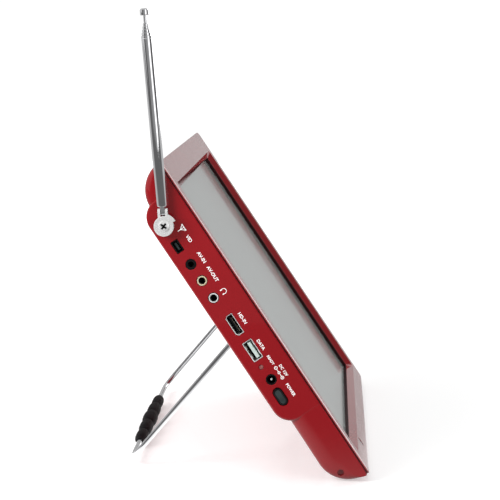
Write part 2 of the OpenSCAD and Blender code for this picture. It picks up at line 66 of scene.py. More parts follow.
def reach(node, axis):
    """Lowest and highest place of a CAD node along an axis, in metres."""
    along = [v.co.dot(axis) for v in NODES[node].data.vertices]
    return min(along), max(along)


ORIGIN = DEPTH * reach("front_bezel", DEPTH)[0] + UP * (reach("screen_glass", UP)[0] - GLASS_LIFT * MM)


def span(node):
    """Corners of a CAD node in the body frame, in millimetres: (x0, y0, n0), (x1, y1, n1)."""
    ends = []
    for axis in (X_AXIS, UP, DEPTH):
        low, high = reach(node, axis)
        zero = ORIGIN.dot(axis)
        ends.append(((low - zero) / MM, (high - zero) / MM))
    return tuple(e[0] for e in ends), tuple(e[1] for e in ends)


def middle(node):
    """Centre of a CAD node in the body frame, in millimetres."""
    low, high = span(node)
    return tuple((a + b) / 2 for a, b in zip(low, high))


def at(x, y, n):
    """World point of a place in the body frame."""
    return ORIGIN + (X_AXIS * x + UP * y + DEPTH * n) * MM


def axes(origin, u, v):
    """Matrix that puts a shape drawn in millimetres along u, v and their cross product at a world point."""
    w = u.cross(v)
    columns = Matrix((u * MM, v * MM, w * MM)).transposed().to_4x4()
    return Matrix.Translation(origin) @ columns


def on_port_side(y, n, x):
    """Placement on the port side: u up the face, v into the case's depth, w out of the side."""
    return axes(at(x, y, n), UP, DEPTH)


def on_back(x, y, n):
    """Placement on the back: u to the right, v down the case, w out of the back."""
    return axes(at(x, y, n), X_AXIS, -UP)


def on_face(x, y, n):
    """Placement on the screen face: u to the right, v up, w out of the face."""
    return axes(at(x, y, n), X_AXIS, UP)


# ---- case dimensions, from the frame -------------------------------------------------

HALF_W = span("front_bezel")[1][0]
RIM_T = 2.5                                     # where the front frame meets the rear cover
EDGE_R = 22
LOW_Y, LOW_N = 21, 3                            # centre of the rounded bottom edge
TOP_Y, TOP_N = 221, 1                           # centre of the rounded top edge
SLAB_T = span("rear_cover")[1][2]
SLAB_Y0, SLAB_Y1, SLAB_R = 54, 224, 13
WALL = 2.2
FACE_TOP = span("front_bezel")[1][1]
FACE_LOW = span("front_bezel")[0][1]
GLASS_N = span("screen_glass")[0][2]
VIEW_W = span("screen_glass")[1][0] * 2 - 6
VIEW_Y0 = span("screen_glass")[0][1] + 3
VIEW_Y1 = span("screen_glass")[1][1] - 3
PIVOT = Vector(JOINTS["stand_swing"]["pos_m"])
PIVOT_Y = (PIVOT - ORIGIN).dot(UP) / MM
PIVOT_N = (PIVOT - ORIGIN).dot(DEPTH) / MM
LEG_X = 145
WIRE_R = 1.8

# ---- mesh tools -----------------------------------------------------------------------


def loft(bm, rings, caps=True, loop=False):
    """Skins rings of points, all with the same number of points. Like the builders below, it returns bm."""
    rows = [[bm.verts.new(p) for p in ring] for ring in rings]
    pairs = list(zip(rows, rows[1:])) + ([(rows[-1], rows[0])] if loop else [])
    for a, b in pairs:
        for i in range(len(a)):
            j = (i + 1) % len(a)
            bm.faces.new((a[i], a[j], b[j], b[i]))
    if caps and not loop:
        bm.faces.new(rows[0][::-1])
        bm.faces.new(rows[-1])
    return bm


def ring_of(place, outline, w):
    """A flat outline of (u, v) points at height w, put in place."""
    return [place @ Vector((u, v, w)) for u, v in outline]


def circle(r, steps=48):
    turns = [2 * math.pi * i / steps for i in range(steps)]
    return [(r * math.cos(a), r * math.sin(a)) for a in turns]


def arc(cu, cv, r, start, end, steps):
    """Points of an arc, angles in degrees."""
    turn = [math.radians(start + (end - start) * i / steps) for i in range(steps + 1)]
    return [(cu + r * math.cos(a), cv + r * math.sin(a)) for a in turn]


def quarter(steps, first=0):
    """Angles that divide a quarter turn into steps."""
    return [math.radians(90 * k / steps) for k in range(first, steps + 1)]


def rounded_rect(w, h, r, steps=6):
    """Outline of a rectangle centred on zero with rounded corners."""
    r = min(r, w / 2 - 1e-3, h / 2 - 1e-3)
    corners = [(w / 2 - r, h / 2 - r, 0), (r - w / 2, h / 2 - r, 90), (r - w / 2, r - h / 2, 180),
        (w / 2 - r, r - h / 2, 270)]
    return [p for cu, cv, a in corners for p in arc(cu, cv, r, a, a + 90, steps)]


def lathe(bm, place, profile, steps=48, loop=False):
    """Turns a profile of (radius, height) points round w."""
    return loft(bm, [ring_of(place, circle(r, steps), w) for r, w in profile], loop=loop)


def tile(bm, place, w, h, r, low, high, edge=0.2, foot=0.0, steps=6):
    """Rounded plate from height low to high, its top edge filleted by edge and its bottom edge by foot."""
    rings = [(foot * (1 - math.sin(a)), low + foot * (1 - math.cos(a))) for a in quarter(4)[:4] if foot]
    rings.append((0, low + foot))
    rings += [(edge * (1 - math.cos(a)), high - edge * (1 - math.sin(a))) for a in quarter(4)]
    return loft(bm, [ring_of(place, rounded_rect(w - 2 * c, h - 2 * c, max(r - c, 0.05), steps), z) for c,
        z in rings])


def mouth(bm, place, w, h, r, deep, lip=0.3, above=2.0, steps=6):
    """Cutter for an opening whose edge is broken by a small chamfer."""
    rings = [(0, -deep), (0, -lip), (lip, 0), (lip, above)]
    return loft(bm, [ring_of(place, rounded_rect(w + 2 * c, h + 2 * c, r + c, steps), z) for c, z in rings])


def round_mouth(bm, place, r, deep, lip=0.3, above=2.0, steps=40):
    """Cutter for a round opening with a small chamfer."""
    return lathe(bm, place, [(r, -deep), (r, -lip), (r + lip, 0), (r + lip, above)], steps)


def box_between(bm, low, high):
    """Plain block between two corners of the body frame."""
    corners = [(low[0], low[1]), (high[0], low[1]), (high[0], high[1]), (low[0], high[1])]
    return loft(bm, [[at(x, y, n) for x, y in corners] for n in (low[2], high[2])])


def sweep(bm, path, r, steps=24, loop=False):
    """Round tube of radius r (metres) along world points; r may be a list with one radius for each point."""
    radii = r if isinstance(r, list) else [r] * len(path)
    rings, side = [], None
    for i, p in enumerate(path):
        ahead = path[min(i + 1, len(path) - 1)] - path[max(i - 1, 0)]
        ahead.normalize()
        if side is None:
            side = ahead.orthogonal().normalized()
        side = (side - ahead * side.dot(ahead)).normalized()
        other = ahead.cross(side)
        rings.append([p + side * (u * radii[i]) + other * (v * radii[i]) for u, v in circle(1, steps)])
    return loft(bm, rings, loop=loop)


def add_object(name, data):
    made = bpy.data.objects.new(name, data)
    bpy.context.scene.collection.objects.link(made)
    return made


def to_object(name, bm):
    """Makes an object of a mesh whose faces all point outward."""
    bmesh.ops.remove_doubles(bm, verts=bm.verts, dist=1e-7)
    bmesh.ops.recalc_face_normals(bm, faces=bm.faces)
    mesh = bpy.data.meshes.new(name)
    bm.to_mesh(mesh)
    bm.free()
    return add_object(name, mesh)


def combine(base, tool, operation="DIFFERENCE", use_self=False):
    """Applies an exact boolean of a tool, which is an object or a mesh being built, to base."""
    if isinstance(tool, bmesh.types.BMesh):
        tool = to_object("tool", tool)
    step = base.modifiers.new("combine", "BOOLEAN")
    step.operation = operation
    step.solver = "EXACT"
    step.use_self = use_self
    step.object = tool
    bpy.context.view_layer.update()
    solved = base.evaluated_get(bpy.context.evaluated_depsgraph_get())
    mesh = bpy.data.meshes.new_from_object(solved)
    base.modifiers.clear()
    old = base.data
    base.data = mesh
    bpy.data.meshes.remove(old)
    bpy.data.meshes.remove(tool.data)


def join(base, other):
    """Adds the mesh of another object to base and removes the other."""
    whole = bmesh.new()
    whole.from_mesh(base.data)
    whole.from_mesh(other.data)
    whole.to_mesh(base.data)
    whole.free()
    bpy.data.meshes.remove(other.data)


def split_faces(mesh):
    """Splits the many-sided faces that cutting leaves, so that every face is flat."""
    bm = bmesh.new()
    bm.from_mesh(mesh)
    many = [f for f in bm.faces if len(f.verts) > 4]
    bmesh.ops.triangulate(bm, faces=many, quad_method="BEAUTY", ngon_method="EAR_CLIP")
    bmesh.ops.remove_doubles(bm, verts=bm.verts, dist=4e-6)
    bmesh.ops.dissolve_degenerate(bm, edges=bm.edges, dist=4e-6)
    bmesh.ops.recalc_face_normals(bm, faces=bm.faces)
    bm.to_mesh(mesh)
    bm.free()


def even_normals(mesh, blunt):
    """Shades flat faces as flat, and lets the curved faces beside them run smoothly into them."""
    around = [[] for _ in mesh.vertices]
    flat = []
    for poly in mesh.polygons:
        flat.append(max(abs(poly.normal.dot(a)) for a in (X_AXIS, UP, DEPTH)) > 0.99999)
        for v in poly.vertices:
            around[v].append(poly)
    normals = []
    for poly in mesh.polygons:
        for v in poly.vertices:
            near = [q for q in around[v] if q.normal.dot(poly.normal) > blunt]
            level = [q for q in near if flat[q.index]]
            if level:
                best = max(level, key=lambda q: q.normal.dot(poly.normal)).normal
                normals.append(poly.normal if flat[poly.index] else best)
            else:
                total = sum((q.normal * q.area for q in near), Vector())
                normals.append(total.normalized() if total.length > 0 else poly.normal)
    mesh.normals_split_custom_set([tuple(n) for n in normals])


def finish_piece(obj, body, material, nodes=(), sharp=32, weighted=False):
    """Gives a piece its shading, material and body, and hides the CAD nodes that it stands for."""
    split_faces(obj.data)
    obj.data.materials.clear()
    obj.data.materials.append(material)
    obj.data.shade_smooth()
    obj.data.set_sharp_from_angle(angle=math.radians(sharp))
    if weighted:
        even_normals(obj.data, math.cos(math.radians(sharp)))
    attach(obj, body)
    if nodes:
        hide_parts(*nodes)
    return obj


def piece(name, bm, body, material, nodes=(), sharp=32, weighted=False):
    return finish_piece(to_object(name, bm), body, material, nodes, sharp, weighted)


# ---- materials ------------------------------------------------------------------------


def linear(r, g, b):
    """Colour from 0 to 255 display values."""
    def one(c):
        c /= 255
        return c / 12.92 if c <= 0.04045 else ((c + 0.055) / 1.055) ** 2.4
    return one(r), one(g), one(b), 1.0


def node(tree, kind, inputs=None, **settings):
    """Adds a shader node. Each input is a plain value or an output to link."""
    made = tree.nodes.new("ShaderNode" + kind)
    for name, value in settings.items():
        setattr(made, name, value)
    for socket, value in (inputs or {}).items():
        if isinstance(value, bpy.types.NodeSocket):
            tree.links.new(value, made.inputs[socket])
        else:
            made.inputs[socket].default_value = value
    return made


def texture(tree, kind, scale, detail=None, stretch=None):
    """Value of a procedural texture in object coordinates, which stretch scales apart along the axes."""
    place = node(tree, "TexCoord").outputs["Object"]
    if stretch:
        place = node(tree, "Mapping", {"Vector": place, "Scale": stretch}).outputs["Vector"]
    inputs = {"Vector": place, "Scale": scale}
    if kind == "cells":
        return node(tree, "TexVoronoi", inputs).outputs["Distance"]
    if kind == "grid":
        return node(tree, "TexBrick", inputs | {"Mortar Size": detail}).outputs["Fac"]
    return node(tree, "TexNoise", inputs | {"Detail": detail}).outputs["Fac"]


SOCKETS = {"metal": "Metallic", "rough": "Roughness", "coat": "Coat Weight",
    "coat_rough": "Coat Roughness", "level": "Specular IOR Level", "glow": "Emission Strength"}
POLISH_LOW, POLISH_HIGH = 0.3, 0.7              # texture values at which the roughness is lowest and highest


def surface(name, tone, reliefs, polish=None, low=0.35, high=0.65, **sockets):
    """A Principled material that follows procedural textures.

    tone is a texture with its dark and light colours, polish a texture with the roughness at its two ends,
    and each relief a texture, its strength and its height in millimetres.
    """
    material = bpy.data.materials.new(name)
    material.use_nodes = True
    tree = material.node_tree
    main = tree.nodes["Principled BSDF"]
    for key, value in ({"rough": 0.4, "coat_rough": 0.05} | sockets).items():
        main.inputs[SOCKETS[key]].default_value = value
    ramp = node(tree, "ValToRGB", {"Fac": texture(tree, *tone[0])})
    for element, place, shade in zip(ramp.color_ramp.elements, (low, high), tone[1:]):
        element.position, element.color = place, linear(*shade)
    tree.links.new(ramp.outputs["Color"], main.inputs["Base Color"])
    if polish:
        spread = {"Value": texture(tree, *polish[0]), "From Min": POLISH_LOW, "From Max": POLISH_HIGH,
            "To Min": polish[1], "To Max": polish[2]}
        tree.links.new(node(tree, "MapRange", spread).outputs["Result"], main.inputs["Roughness"])
    under = {}
    for source, strength, height in reliefs:
        inputs = {"Strength": strength, "Distance": height * MM, "Height": texture(tree, *source)} | under
        under = {"Normal": node(tree, "Bump", inputs).outputs["Normal"]}
    tree.links.new(under["Normal"], main.inputs["Normal"])
    return material


def noise(scale, detail, stretch=None):
    return "noise", scale, detail, stretch


RED = surface("gloss_red", (noise(9, 2), (150, 12, 22), (158, 14, 25)), [(noise(1500, 2), 0.02, 0.02)],
    (noise(60, 2), 0.5, 0.6), rough=0.55, coat=1.0, coat_rough=0.035, level=0.15)
# Dark red used only for the painted shade on the wall inside the screen's frame.
RED_PAINTED_SHADE = surface("painted_shade_red", (noise(60, 2), (40, 3, 7), (54, 5, 10)), [(noise(2200, 2), 0.1, 0.02)],
    rough=0.6, level=0.2)
SCREEN = surface("screen_satin", (noise(5, 1), (150, 159, 156), (155, 163, 160)),
    [(("grid", 1400, 0.08), 0.04, 0.01)], (noise(60, 2), 0.16, 0.2), rough=0.1, coat=0.3, coat_rough=0.05)
# Near-white colour for the painted highlight along the glass edge.
EDGE_HIGHLIGHT_PALE = surface("painted_edge_highlight", (noise(80, 2), (214, 208, 208), (228, 223, 223)),
    [(noise(1500, 2), 0.1, 0.02)], rough=0.4)
WIRE = surface("bright_wire", (noise(40, 3), (196, 196, 198), (224, 224, 226)),
    [(noise(1200, 3, (1, 0.06, 0.06)), 0.06, 0.02)], (noise(900, 4), 0.08, 0.18), metal=1.0, rough=0.12)
CHROME = surface("chrome_tube", (noise(30, 2), (240, 240, 242), (250, 250, 252)),
    [(noise(1600, 2, (1, 1, 0.04)), 0.03, 0.01)], (noise(700, 3), 0.035, 0.09), metal=1.0, rough=0.06)
NICKEL = surface("satin_nickel", (noise(120, 3), (224, 224, 224), (246, 246, 246)),
    [(noise(3000, 2), 0.12, 0.02)], (noise(800, 3), 0.24, 0.36), metal=1.0, rough=0.3)
PLATED = surface("bright_nickel", (noise(120, 3), (240, 240, 239), (250, 250, 250)),
    [(noise(3000, 2), 0.1, 0.01)], (noise(800, 3), 0.2, 0.3), metal=0.35, rough=0.25, coat=0.6,
    coat_rough=0.05)
STEEL = surface("brushed_steel", (noise(200, 3, (0.1, 1, 1)), (170, 172, 174), (206, 208, 210)),
    [(noise(2400, 2, (0.05, 1, 1)), 0.1, 0.02)], (noise(500, 3, (0.1, 1, 1)), 0.2, 0.36), metal=1.0,
    rough=0.28)
DARK_STEEL = surface("black_oxide", (noise(300, 3), (34, 34, 36), (58, 58, 60)),
    [(noise(2600, 3), 0.15, 0.02)], (noise(600, 3), 0.32, 0.5), metal=0.8, rough=0.4)
BRASS = surface("polished_brass", (noise(160, 3), (252, 238, 200), (255, 248, 220)),
    [(noise(2600, 2), 0.08, 0.02)], (noise(900, 2), 0.14, 0.26), metal=0.45, rough=0.2)
FOAM = surface("grip_foam", (noise(220, 4), (14, 14, 15), (30, 30, 32)),
    [(("cells", 1100), 0.5, 0.12), (noise(420, 4), 0.35, 0.2)], rough=0.85, level=0.25)
BLACK = surface("black_plastic", (noise(90, 3), (10, 10, 11), (18, 18, 20)),
    [(noise(3200, 2), 0.18, 0.03)], (noise(400, 3), 0.34, 0.5), rough=0.42, level=0.3)
RUBBER = surface("foot_rubber", (noise(120, 4), (22, 22, 22), (38, 38, 38)),
    [(noise(1800, 4), 0.3, 0.04)], rough=0.75)
GREY = surface("button_grey", (noise(150, 3), (40, 50, 50), (54, 65, 65)), [(noise(3000, 2), 0.15, 0.02)],
    (noise(500, 3), 0.3, 0.46), rough=0.38)
PALE = surface("pale_tongue", (noise(200, 2), (196, 216, 208), (222, 236, 229)),
    [(noise(2400, 2), 0.12, 0.02)], rough=0.35)
# White print with a faint glow: the glow is painted light, as the print is no lamp.
INK_WITH_GLOW = surface("white_ink_painted_glow", (noise(900, 3), (250, 249, 248), (255, 255, 255)),
    [(noise(4200, 2), 0.12, 0.01)], rough=0.45, glow=0.25)
LED = surface("led_lens", (noise(500, 2), (150, 84, 82), (176, 112, 108)), [(noise(1500, 2), 0.05, 0.02)],
    rough=0.16, coat=0.5)
WINDOW = surface("dark_window", (noise(150, 2), (34, 14, 18), (48, 20, 25)),
    [(noise(900, 2), 0.03, 0.02)], rough=0.12, coat=0.6)
BOARD = surface("board_green", (("grid", 160, 0.06), (12, 74, 40), (30, 108, 62)),
    [(("grid", 160, 0.06), 0.3, 0.04), (noise(1800, 2), 0.08, 0.02)], rough=0.35, coat=0.3, low=0.4,
    high=0.6)
FILM = surface("battery_film", (noise(18, 2), (28, 66, 150), (38, 82, 172)),
    [(noise(60, 3, (1, 0.3, 0.3)), 0.3, 0.3)], rough=0.3, coat=0.3)
CONE = surface("speaker_cone", (noise(260, 4), (34, 34, 36), (56, 56, 58)), [(noise(900, 4), 0.3, 0.08)],
    rough=0.8)
PANEL = surface("panel_grey", (noise(60, 2), (96, 96, 99), (118, 118, 121)),
    [(noise(1800, 2), 0.12, 0.02)], rough=0.5)
HUB = surface("hub_grey", (noise(140, 3), (128, 129, 132), (150, 151, 154)),
    [(noise(2600, 2), 0.15, 0.02)], rough=0.4)
CAST = surface("cast_alloy", (noise(300, 4), (130, 131, 134), (166, 167, 170)),
    [(noise(1500, 4), 0.3, 0.06)], (noise(400, 4), 0.38, 0.55), metal=0.9, rough=0.45)
LENS = surface("coated_lens", (noise(900, 1), (46, 62, 120), (72, 96, 158)),
    [(noise(500, 1), 0.02, 0.02)], rough=0.05, coat=1.0)

KEPT_NODES = {"screen_glass": SCREEN, "lcd_panel": PANEL, "panel_frame": STEEL, "main_board": BOARD,
    "tuner_can": STEEL, "backlight_board": BOARD, "battery_pack": FILM, "power_switch": BLACK,
    "key_board": BOARD, "guide_rods": CHROME, "spindle_motor": STEEL, "sled_motor": STEEL,
    "lid_pin": STEEL, "tilt_pin": DARK_STEEL,}
for kept, material in KEPT_NODES.items():
    NODES[kept].data.materials.clear()
    NODES[kept].data.materials.append(material)

# ---- rear cover -------------------------------------------------------------------------

SIDE_SOFT = (5.5, 11.0)                         # rounding of the two ends, across and deep
SLAB_SOFT = (1.6, 1.6)


def ease(t):
    """Smooth step from 0 to 1."""
    t = min(max(t, 0.0), 1.0)
    return t * t * (3 - 2 * t)


def soft_arc(cy, cn, r, a0, a1, cut, steps, hard_start):
    """Arc whose radius shrinks by cut, easing in from the end that meets the front."""
    points = []
    for i in range(steps + 1):
        t = i / steps
        a = math.radians(a0 + (a1 - a0) * t)
        share = ease((t if hard_start else 1 - t) / 0.6)
        points.append((cy + (r - cut * share) * math.cos(a), cn + (r - cut * share) * math.sin(a)))
    return points


def end_section(inset, front, cut=0.0):
    """Section of the rounded case as (y, n), closed across the front at depth front."""
    r = EDGE_R - inset
    a0 = 180 - math.degrees(math.asin((front - LOW_N) / r))
    a1 = math.degrees(math.asin((front - TOP_N) / r))
    return (soft_arc(LOW_Y, LOW_N, r, a0, 90, cut, 32, True) + soft_arc(TOP_Y, TOP_N, r, 90, a1, cut, 32,
        False))


def slab_section(inset, front, cut=0.0):
    """Section of the raised slab as (y, n)."""
    inset += cut
    r = SLAB_R - inset
    n = SLAB_T - SLAB_R
    return ([(SLAB_Y0 + inset, front)] + arc(SLAB_Y0 + SLAB_R, n, r, 180, 90, 16)
        + arc(SLAB_Y1 - SLAB_R, n, r, 90, 0, 16) + [(SLAB_Y1 - inset, front)])


def long_body(section, half, soft, front, inset=0.0, steps=16):
    """Solid of a section along x whose two side edges are rounded by soft = (across, deep)."""
    across, deep = soft
    rings = [(half - across * (1 - math.sin(a)), deep * (1 - math.cos(a))) for a in quarter(steps)]
    places = [(-x, cut) for x, cut in rings[::-1]] + rings
    return loft(bmesh.new(), [[at(x, y, n) for y, n in section(inset, front, cut)] for x, cut in places])


def rear_shell():
    """Outer skin less the cavity, with its bosses left in."""
    end_half = HALF_W - 0.12
    cover = to_object("rear_shell", long_body(end_section, end_half, SIDE_SOFT, RIM_T))
    combine(cover, long_body(slab_section, HALF_W, SLAB_SOFT, RIM_T), "UNION")
    inside = HALF_W - 0.8 - WALL
    soft_in = (4.0, 9.0)
    cavity = to_object("cavity", long_body(end_section, inside, soft_in, RIM_T - 1, WALL))
    combine(cavity, long_body(slab_section, inside, (0.8, 0.8), RIM_T - 1, WALL), "UNION")
    combine(cavity, bosses())
    combine(cover, cavity)
    combine(cover, back_cuts())
    combine(cover, groove_cuts())
    combine(cover, side_cuts())
    return finish_piece(cover, "case", RED, ["rear_cover"], 34, True)


SCREWS = [(-175, 36), (175, 36), (-175, 229), (175, 229), (-95, 232), (95, 232)]
BAY_LOW = [c + 1.6 for c in span("deck_tray")[0]]
BAY_HIGH = [c - 1.6 for c in span("deck_tray")[1]]
TRAY_N = span("deck_tray")[0][2] + 1.2
OPEN_Y = middle("open_button")[1]
STRAP_Y, STRAP_N = 9.6, 16
SPEAKER_Y = middle("speaker_left")[1]
SPEAKER_X = middle("speaker_right")[0]
GROOVE_N = PIVOT_N - WIRE_R - 0.4


def bosses():
    """Solid places inside the cover: stand bearings, strap eyes, screw posts and the button's seat."""
    bm = bmesh.new()
    for s in (-1, 1):
        box_between(bm, (s * 151 - 12, SLAB_Y0, GROOVE_N - 2), (s * 151 + 12, PIVOT_Y + 8, SLAB_T))
        lathe(bm, on_port_side(STRAP_Y, STRAP_N, s * (HALF_W - 3)), [(4.2, -3), (4.2, 3)])
    for x, y in SCREWS:
        lathe(bm, on_back(x, y, 0), [(4, 16), (4, SLAB_T)])
    lathe(bm, on_back(0, OPEN_Y, 0), [(7, 24), (7, SLAB_T)])
    return bm


def back_cuts():
    """Disc bay, button seat, screw recesses, speaker slots and key openings."""
    bm = bmesh.new()
    bay_w, bay_h = BAY_HIGH[0] - BAY_LOW[0], BAY_HIGH[1] - BAY_LOW[1]
    mouth(bm, on_back(0, (BAY_LOW[1] + BAY_HIGH[1]) / 2, SLAB_T), bay_w, bay_h, 2, SLAB_T - TRAY_N + 2, 0.35)
    round_mouth(bm, on_back(0, OPEN_Y, SLAB_T), 5, 10, 0.35)
    for x, y in SCREWS:
        top = SLAB_T if y < SLAB_Y1 and y > SLAB_Y0 else 25
        lathe(bm, on_back(x, y, 0), [(1.7, 15), (1.7, 17.8), (3.1, 17.8), (3.1, top + 2)])
    for s in (-1, 1):
        for i in range(-3, 4):
            mouth(bm, on_back(s * SPEAKER_X, SPEAKER_Y + 4 * i, LOW_N + EDGE_R), 22, 1.8, 0.85, 5, 0.25)
    for i in range(1, 6):
        mouth(bm, on_key(i), 11.0, 4.6, 1.1, 4, 0.25)
    return bm


def groove_cuts():
    """Grooves that the folded legs lie in, and the pockets round the stand's bearings."""
    grooves, pockets = bmesh.new(), bmesh.new()
    outline = arc(0, GROOVE_N + 2.6, 2.6, 180, 360, 12)
    outline += [(3.0, SLAB_T - 0.4), (3.4, SLAB_T + 2), (-3.4, SLAB_T + 2), (-3.0, SLAB_T - 0.4)]
    for s in (-1, 1):
        loft(grooves, [[at(s * LEG_X + u, y, v) for u, v in outline] for y in (SLAB_Y0 - 2, PIVOT_Y + 1.9)])
        mouth(pockets, on_back(s * 155.5, PIVOT_Y, SLAB_T), 26, 12, 1.2, SLAB_T - GROOVE_N, 0.3)
    whole = to_object("grooves", grooves)
    combine(whole, pockets, "UNION")
    joined = bmesh.new()
    joined.from_mesh(whole.data)
    bpy.data.meshes.remove(whole.data)
    return joined


def on_key(i):
    """Placement of a top-edge key's cap: u across, v round the edge, w out of the surface."""
    press = Vector(JOINTS[f"key_press_{i}"]["axis"])
    x = middle(f"key_{i}")[0]
    centre = at(x, TOP_Y, TOP_N)
    return axes(centre - press * EDGE_R * MM, X_AXIS, (-press).cross(X_AXIS))


PORTS = {name: middle(name) for name in ("video_port", "av_in_jack", "av_out_ring", "headphone_ring",
    "hd_port", "data_port", "status_led", "dc_pin", "button_well")}
JACK_N = PORTS["headphone_ring"][2]
AV_IN_Y, AV_OUT_Y, PHONE_Y = PORTS["av_in_jack"][1], PORTS["av_out_ring"][1], PORTS["headphone_ring"][1]


def port_place(name, x=0.0):
    """Placement at a socket's centre, with w = 0 at x millimetres outside the side wall."""
    _, y, n = PORTS[name]
    return on_port_side(y, n, -HALF_W - x)


def jack_place(y, x=0.0):
    return on_port_side(y, JACK_N, -HALF_W - x)


def hd_outline(w, h, cut):
    """Wide socket outline whose two rear corners are cut off, as (u, v) with v towards the back."""
    return [(-w / 2, -h / 2), (w / 2, -h / 2), (w / 2, h / 2 - cut), (w / 2 - cut, h / 2),
        (cut - w / 2, h / 2), (-w / 2, h / 2 - cut)]


def side_cuts():
    """Socket openings, the button well, the antenna screw's hole and the strap eyes."""
    bm = bmesh.new()
    deep = 5
    for y in (AV_IN_Y, AV_OUT_Y, PHONE_Y):
        round_mouth(bm, jack_place(y), 3.6, deep, 0.2)
    round_mouth(bm, port_place("dc_pin"), 3.6, deep, 0.25)
    round_mouth(bm, port_place("status_led"), 1.6, deep, 0.2)
    round_mouth(bm, axes(at(-HALF_W, *antenna_place()), UP, DEPTH), 1.9, deep, 0.1)
    mouth(bm, port_place("video_port"), 8.8, 5.4, 0.7, deep, 0.15)
    mouth(bm, port_place("data_port"), 14.6, 7.2, 0.5, deep, 0.15)
    place = port_place("hd_port")
    loft(bm, [ring_of(place, hd_outline(15.3, 5.9, 1.6), w) for w in (-deep, 2)])
    mouth(bm, port_place("button_well"), 13.0, 6.6, 3.3, deep, 0.3, steps=12)
    tile(bm, port_place("button_well"), 16, 9.2, 4.6, -deep, -1.4, 0.01, steps=12)
    for s in (-1, 1):
        eye = axes(at(s * HALF_W, STRAP_Y, STRAP_N), UP * -s, DEPTH)
        round_mouth(bm, eye, 2.2, 4, 0.5, above=3)
    return bm


def antenna_place():
    """Height up the face and depth of the antenna's turning axis."""
    hub = Vector(JOINTS["antenna_turn"]["pos_m"]) - ORIGIN
    return hub.dot(UP) / MM, hub.dot(DEPTH) / MM


rear_shell()

# ---- front frame ------------------------------------------------------------------------


def front_frame():
    """Frame round the screen: rounded rim, shadow groove, flat, sloped inner edge and wall."""
    mid_y = (FACE_LOW + FACE_TOP) / 2
    place = on_face(0, mid_y, 0)
    w, h = 2 * HALF_W, FACE_TOP - FACE_LOW
    across, deep = 3.6, 0.95
    outer = [(0.15, 2.49), (0.0, 2.35), (0.0, 2.0), (0.4, 1.92), (0.4, 1.25), (0.0, 1.15), (0.0, deep)]
    outer += [(across * (1 - math.cos(a)), deep * (1 - math.sin(a))) for a in quarter(12, 1)]
    rings = [ring_of(place, rounded_rect(w - 2 * c, h - 2 * c, 3.6 - 0.7 * c, 8), -n) for c, n in outer]
    view_mid = (VIEW_Y0 + VIEW_Y1) / 2 - mid_y
    shift = place @ Matrix.Translation((0, view_mid, 0))
    view_h = VIEW_Y1 - VIEW_Y0
    inner = [(4.6, 0.0), (4.3, 0.03), (4.05, 0.2), (0.35, 3.7), (0.15, 3.95), (0.1, 4.2),
        (0.1, GLASS_N - 0.1), (4.0, GLASS_N - 0.1), (4.0, 2.49)]
    rings += [ring_of(shift, rounded_rect(VIEW_W + 2 * c, view_h + 2 * c, 1.2 + 0.4 * c, 8), -n) for c,
        n in inner]
    bm = loft(bmesh.new(), rings, loop=True)
    frame_piece = to_object("front_frame", bm)
    window = middle("ir_window")
    cut = mouth(bmesh.new(), on_face(window[0], window[1], 0), 8, 6, 0.6, 1.5, 0.12)
    combine(frame_piece, cut)
    return finish_piece(frame_piece, "case", RED, ["front_bezel"], 34, True)


def painted_groove_shade():
    """Black strip on the floor of the groove round the front frame: painted shade that darkens the groove
    line.
    """
    w, h = 2 * HALF_W, FACE_TOP - FACE_LOW
    strip = [(0.3, 1.3), (0.3, 1.86), (0.44, 1.86), (0.44, 1.3)]
    bm = loft(bmesh.new(), [ring_of(on_face(0, (FACE_LOW + FACE_TOP) / 2, 0),
        rounded_rect(w - 2 * c, h - 2 * c, 3.6, 8), -n) for c, n in strip], loop=True)
    piece("painted_groove_shade", bm, "case", BLACK)


def receiver_window():
    x, y, _ = middle("ir_window")
    bm = tile(bmesh.new(), on_face(x, y, 0), 7.8, 5.8, 0.5, -1.5, -0.12, 0.15)
    piece("receiver_window", bm, "case", WINDOW, ["ir_window"])


def shadow_liner():
    """Dark red lining of the wall between the sloped edge and the glass: painted shade on the wall."""
    place = on_face(0, (VIEW_Y0 + VIEW_Y1) / 2, 0)
    h = VIEW_Y1 - VIEW_Y0
    wall = [(0.16, GLASS_N - 0.02), (0.16, 4.1), (0.02, 4.15), (-0.04, 4.3), (-0.04, GLASS_N - 0.02)]
    bm = loft(bmesh.new(), [ring_of(place, rounded_rect(VIEW_W + 2 * c, h + 2 * c, 1.2 + 0.4 * c, 8), -n)
        for c, n in wall], loop=True)
    piece("shadow_liner", bm, "case", RED_PAINTED_SHADE)


def glass_edge_highlight():
    """Thin pale strip between frame and glass along the port side: a painted highlight along the glass edge.
    """
    mid_y, h = (VIEW_Y0 + VIEW_Y1) / 2, VIEW_Y1 - VIEW_Y0
    thick, tall = 0.22, 0.3
    bm = bmesh.new()
    side = on_face(0.1 + thick / 2 - VIEW_W / 2, mid_y, GLASS_N)
    tile(bm, side, thick, h - 0.8, 0.1, 0.01, tall, 0.08)
    piece("glass_edge_highlight", bm, "case", EDGE_HIGHLIGHT_PALE)


front_frame()
painted_groove_shade()
receiver_window()
shadow_liner()
glass_edge_highlight()

# ---- sockets and controls on the port side -------------------------------------------------


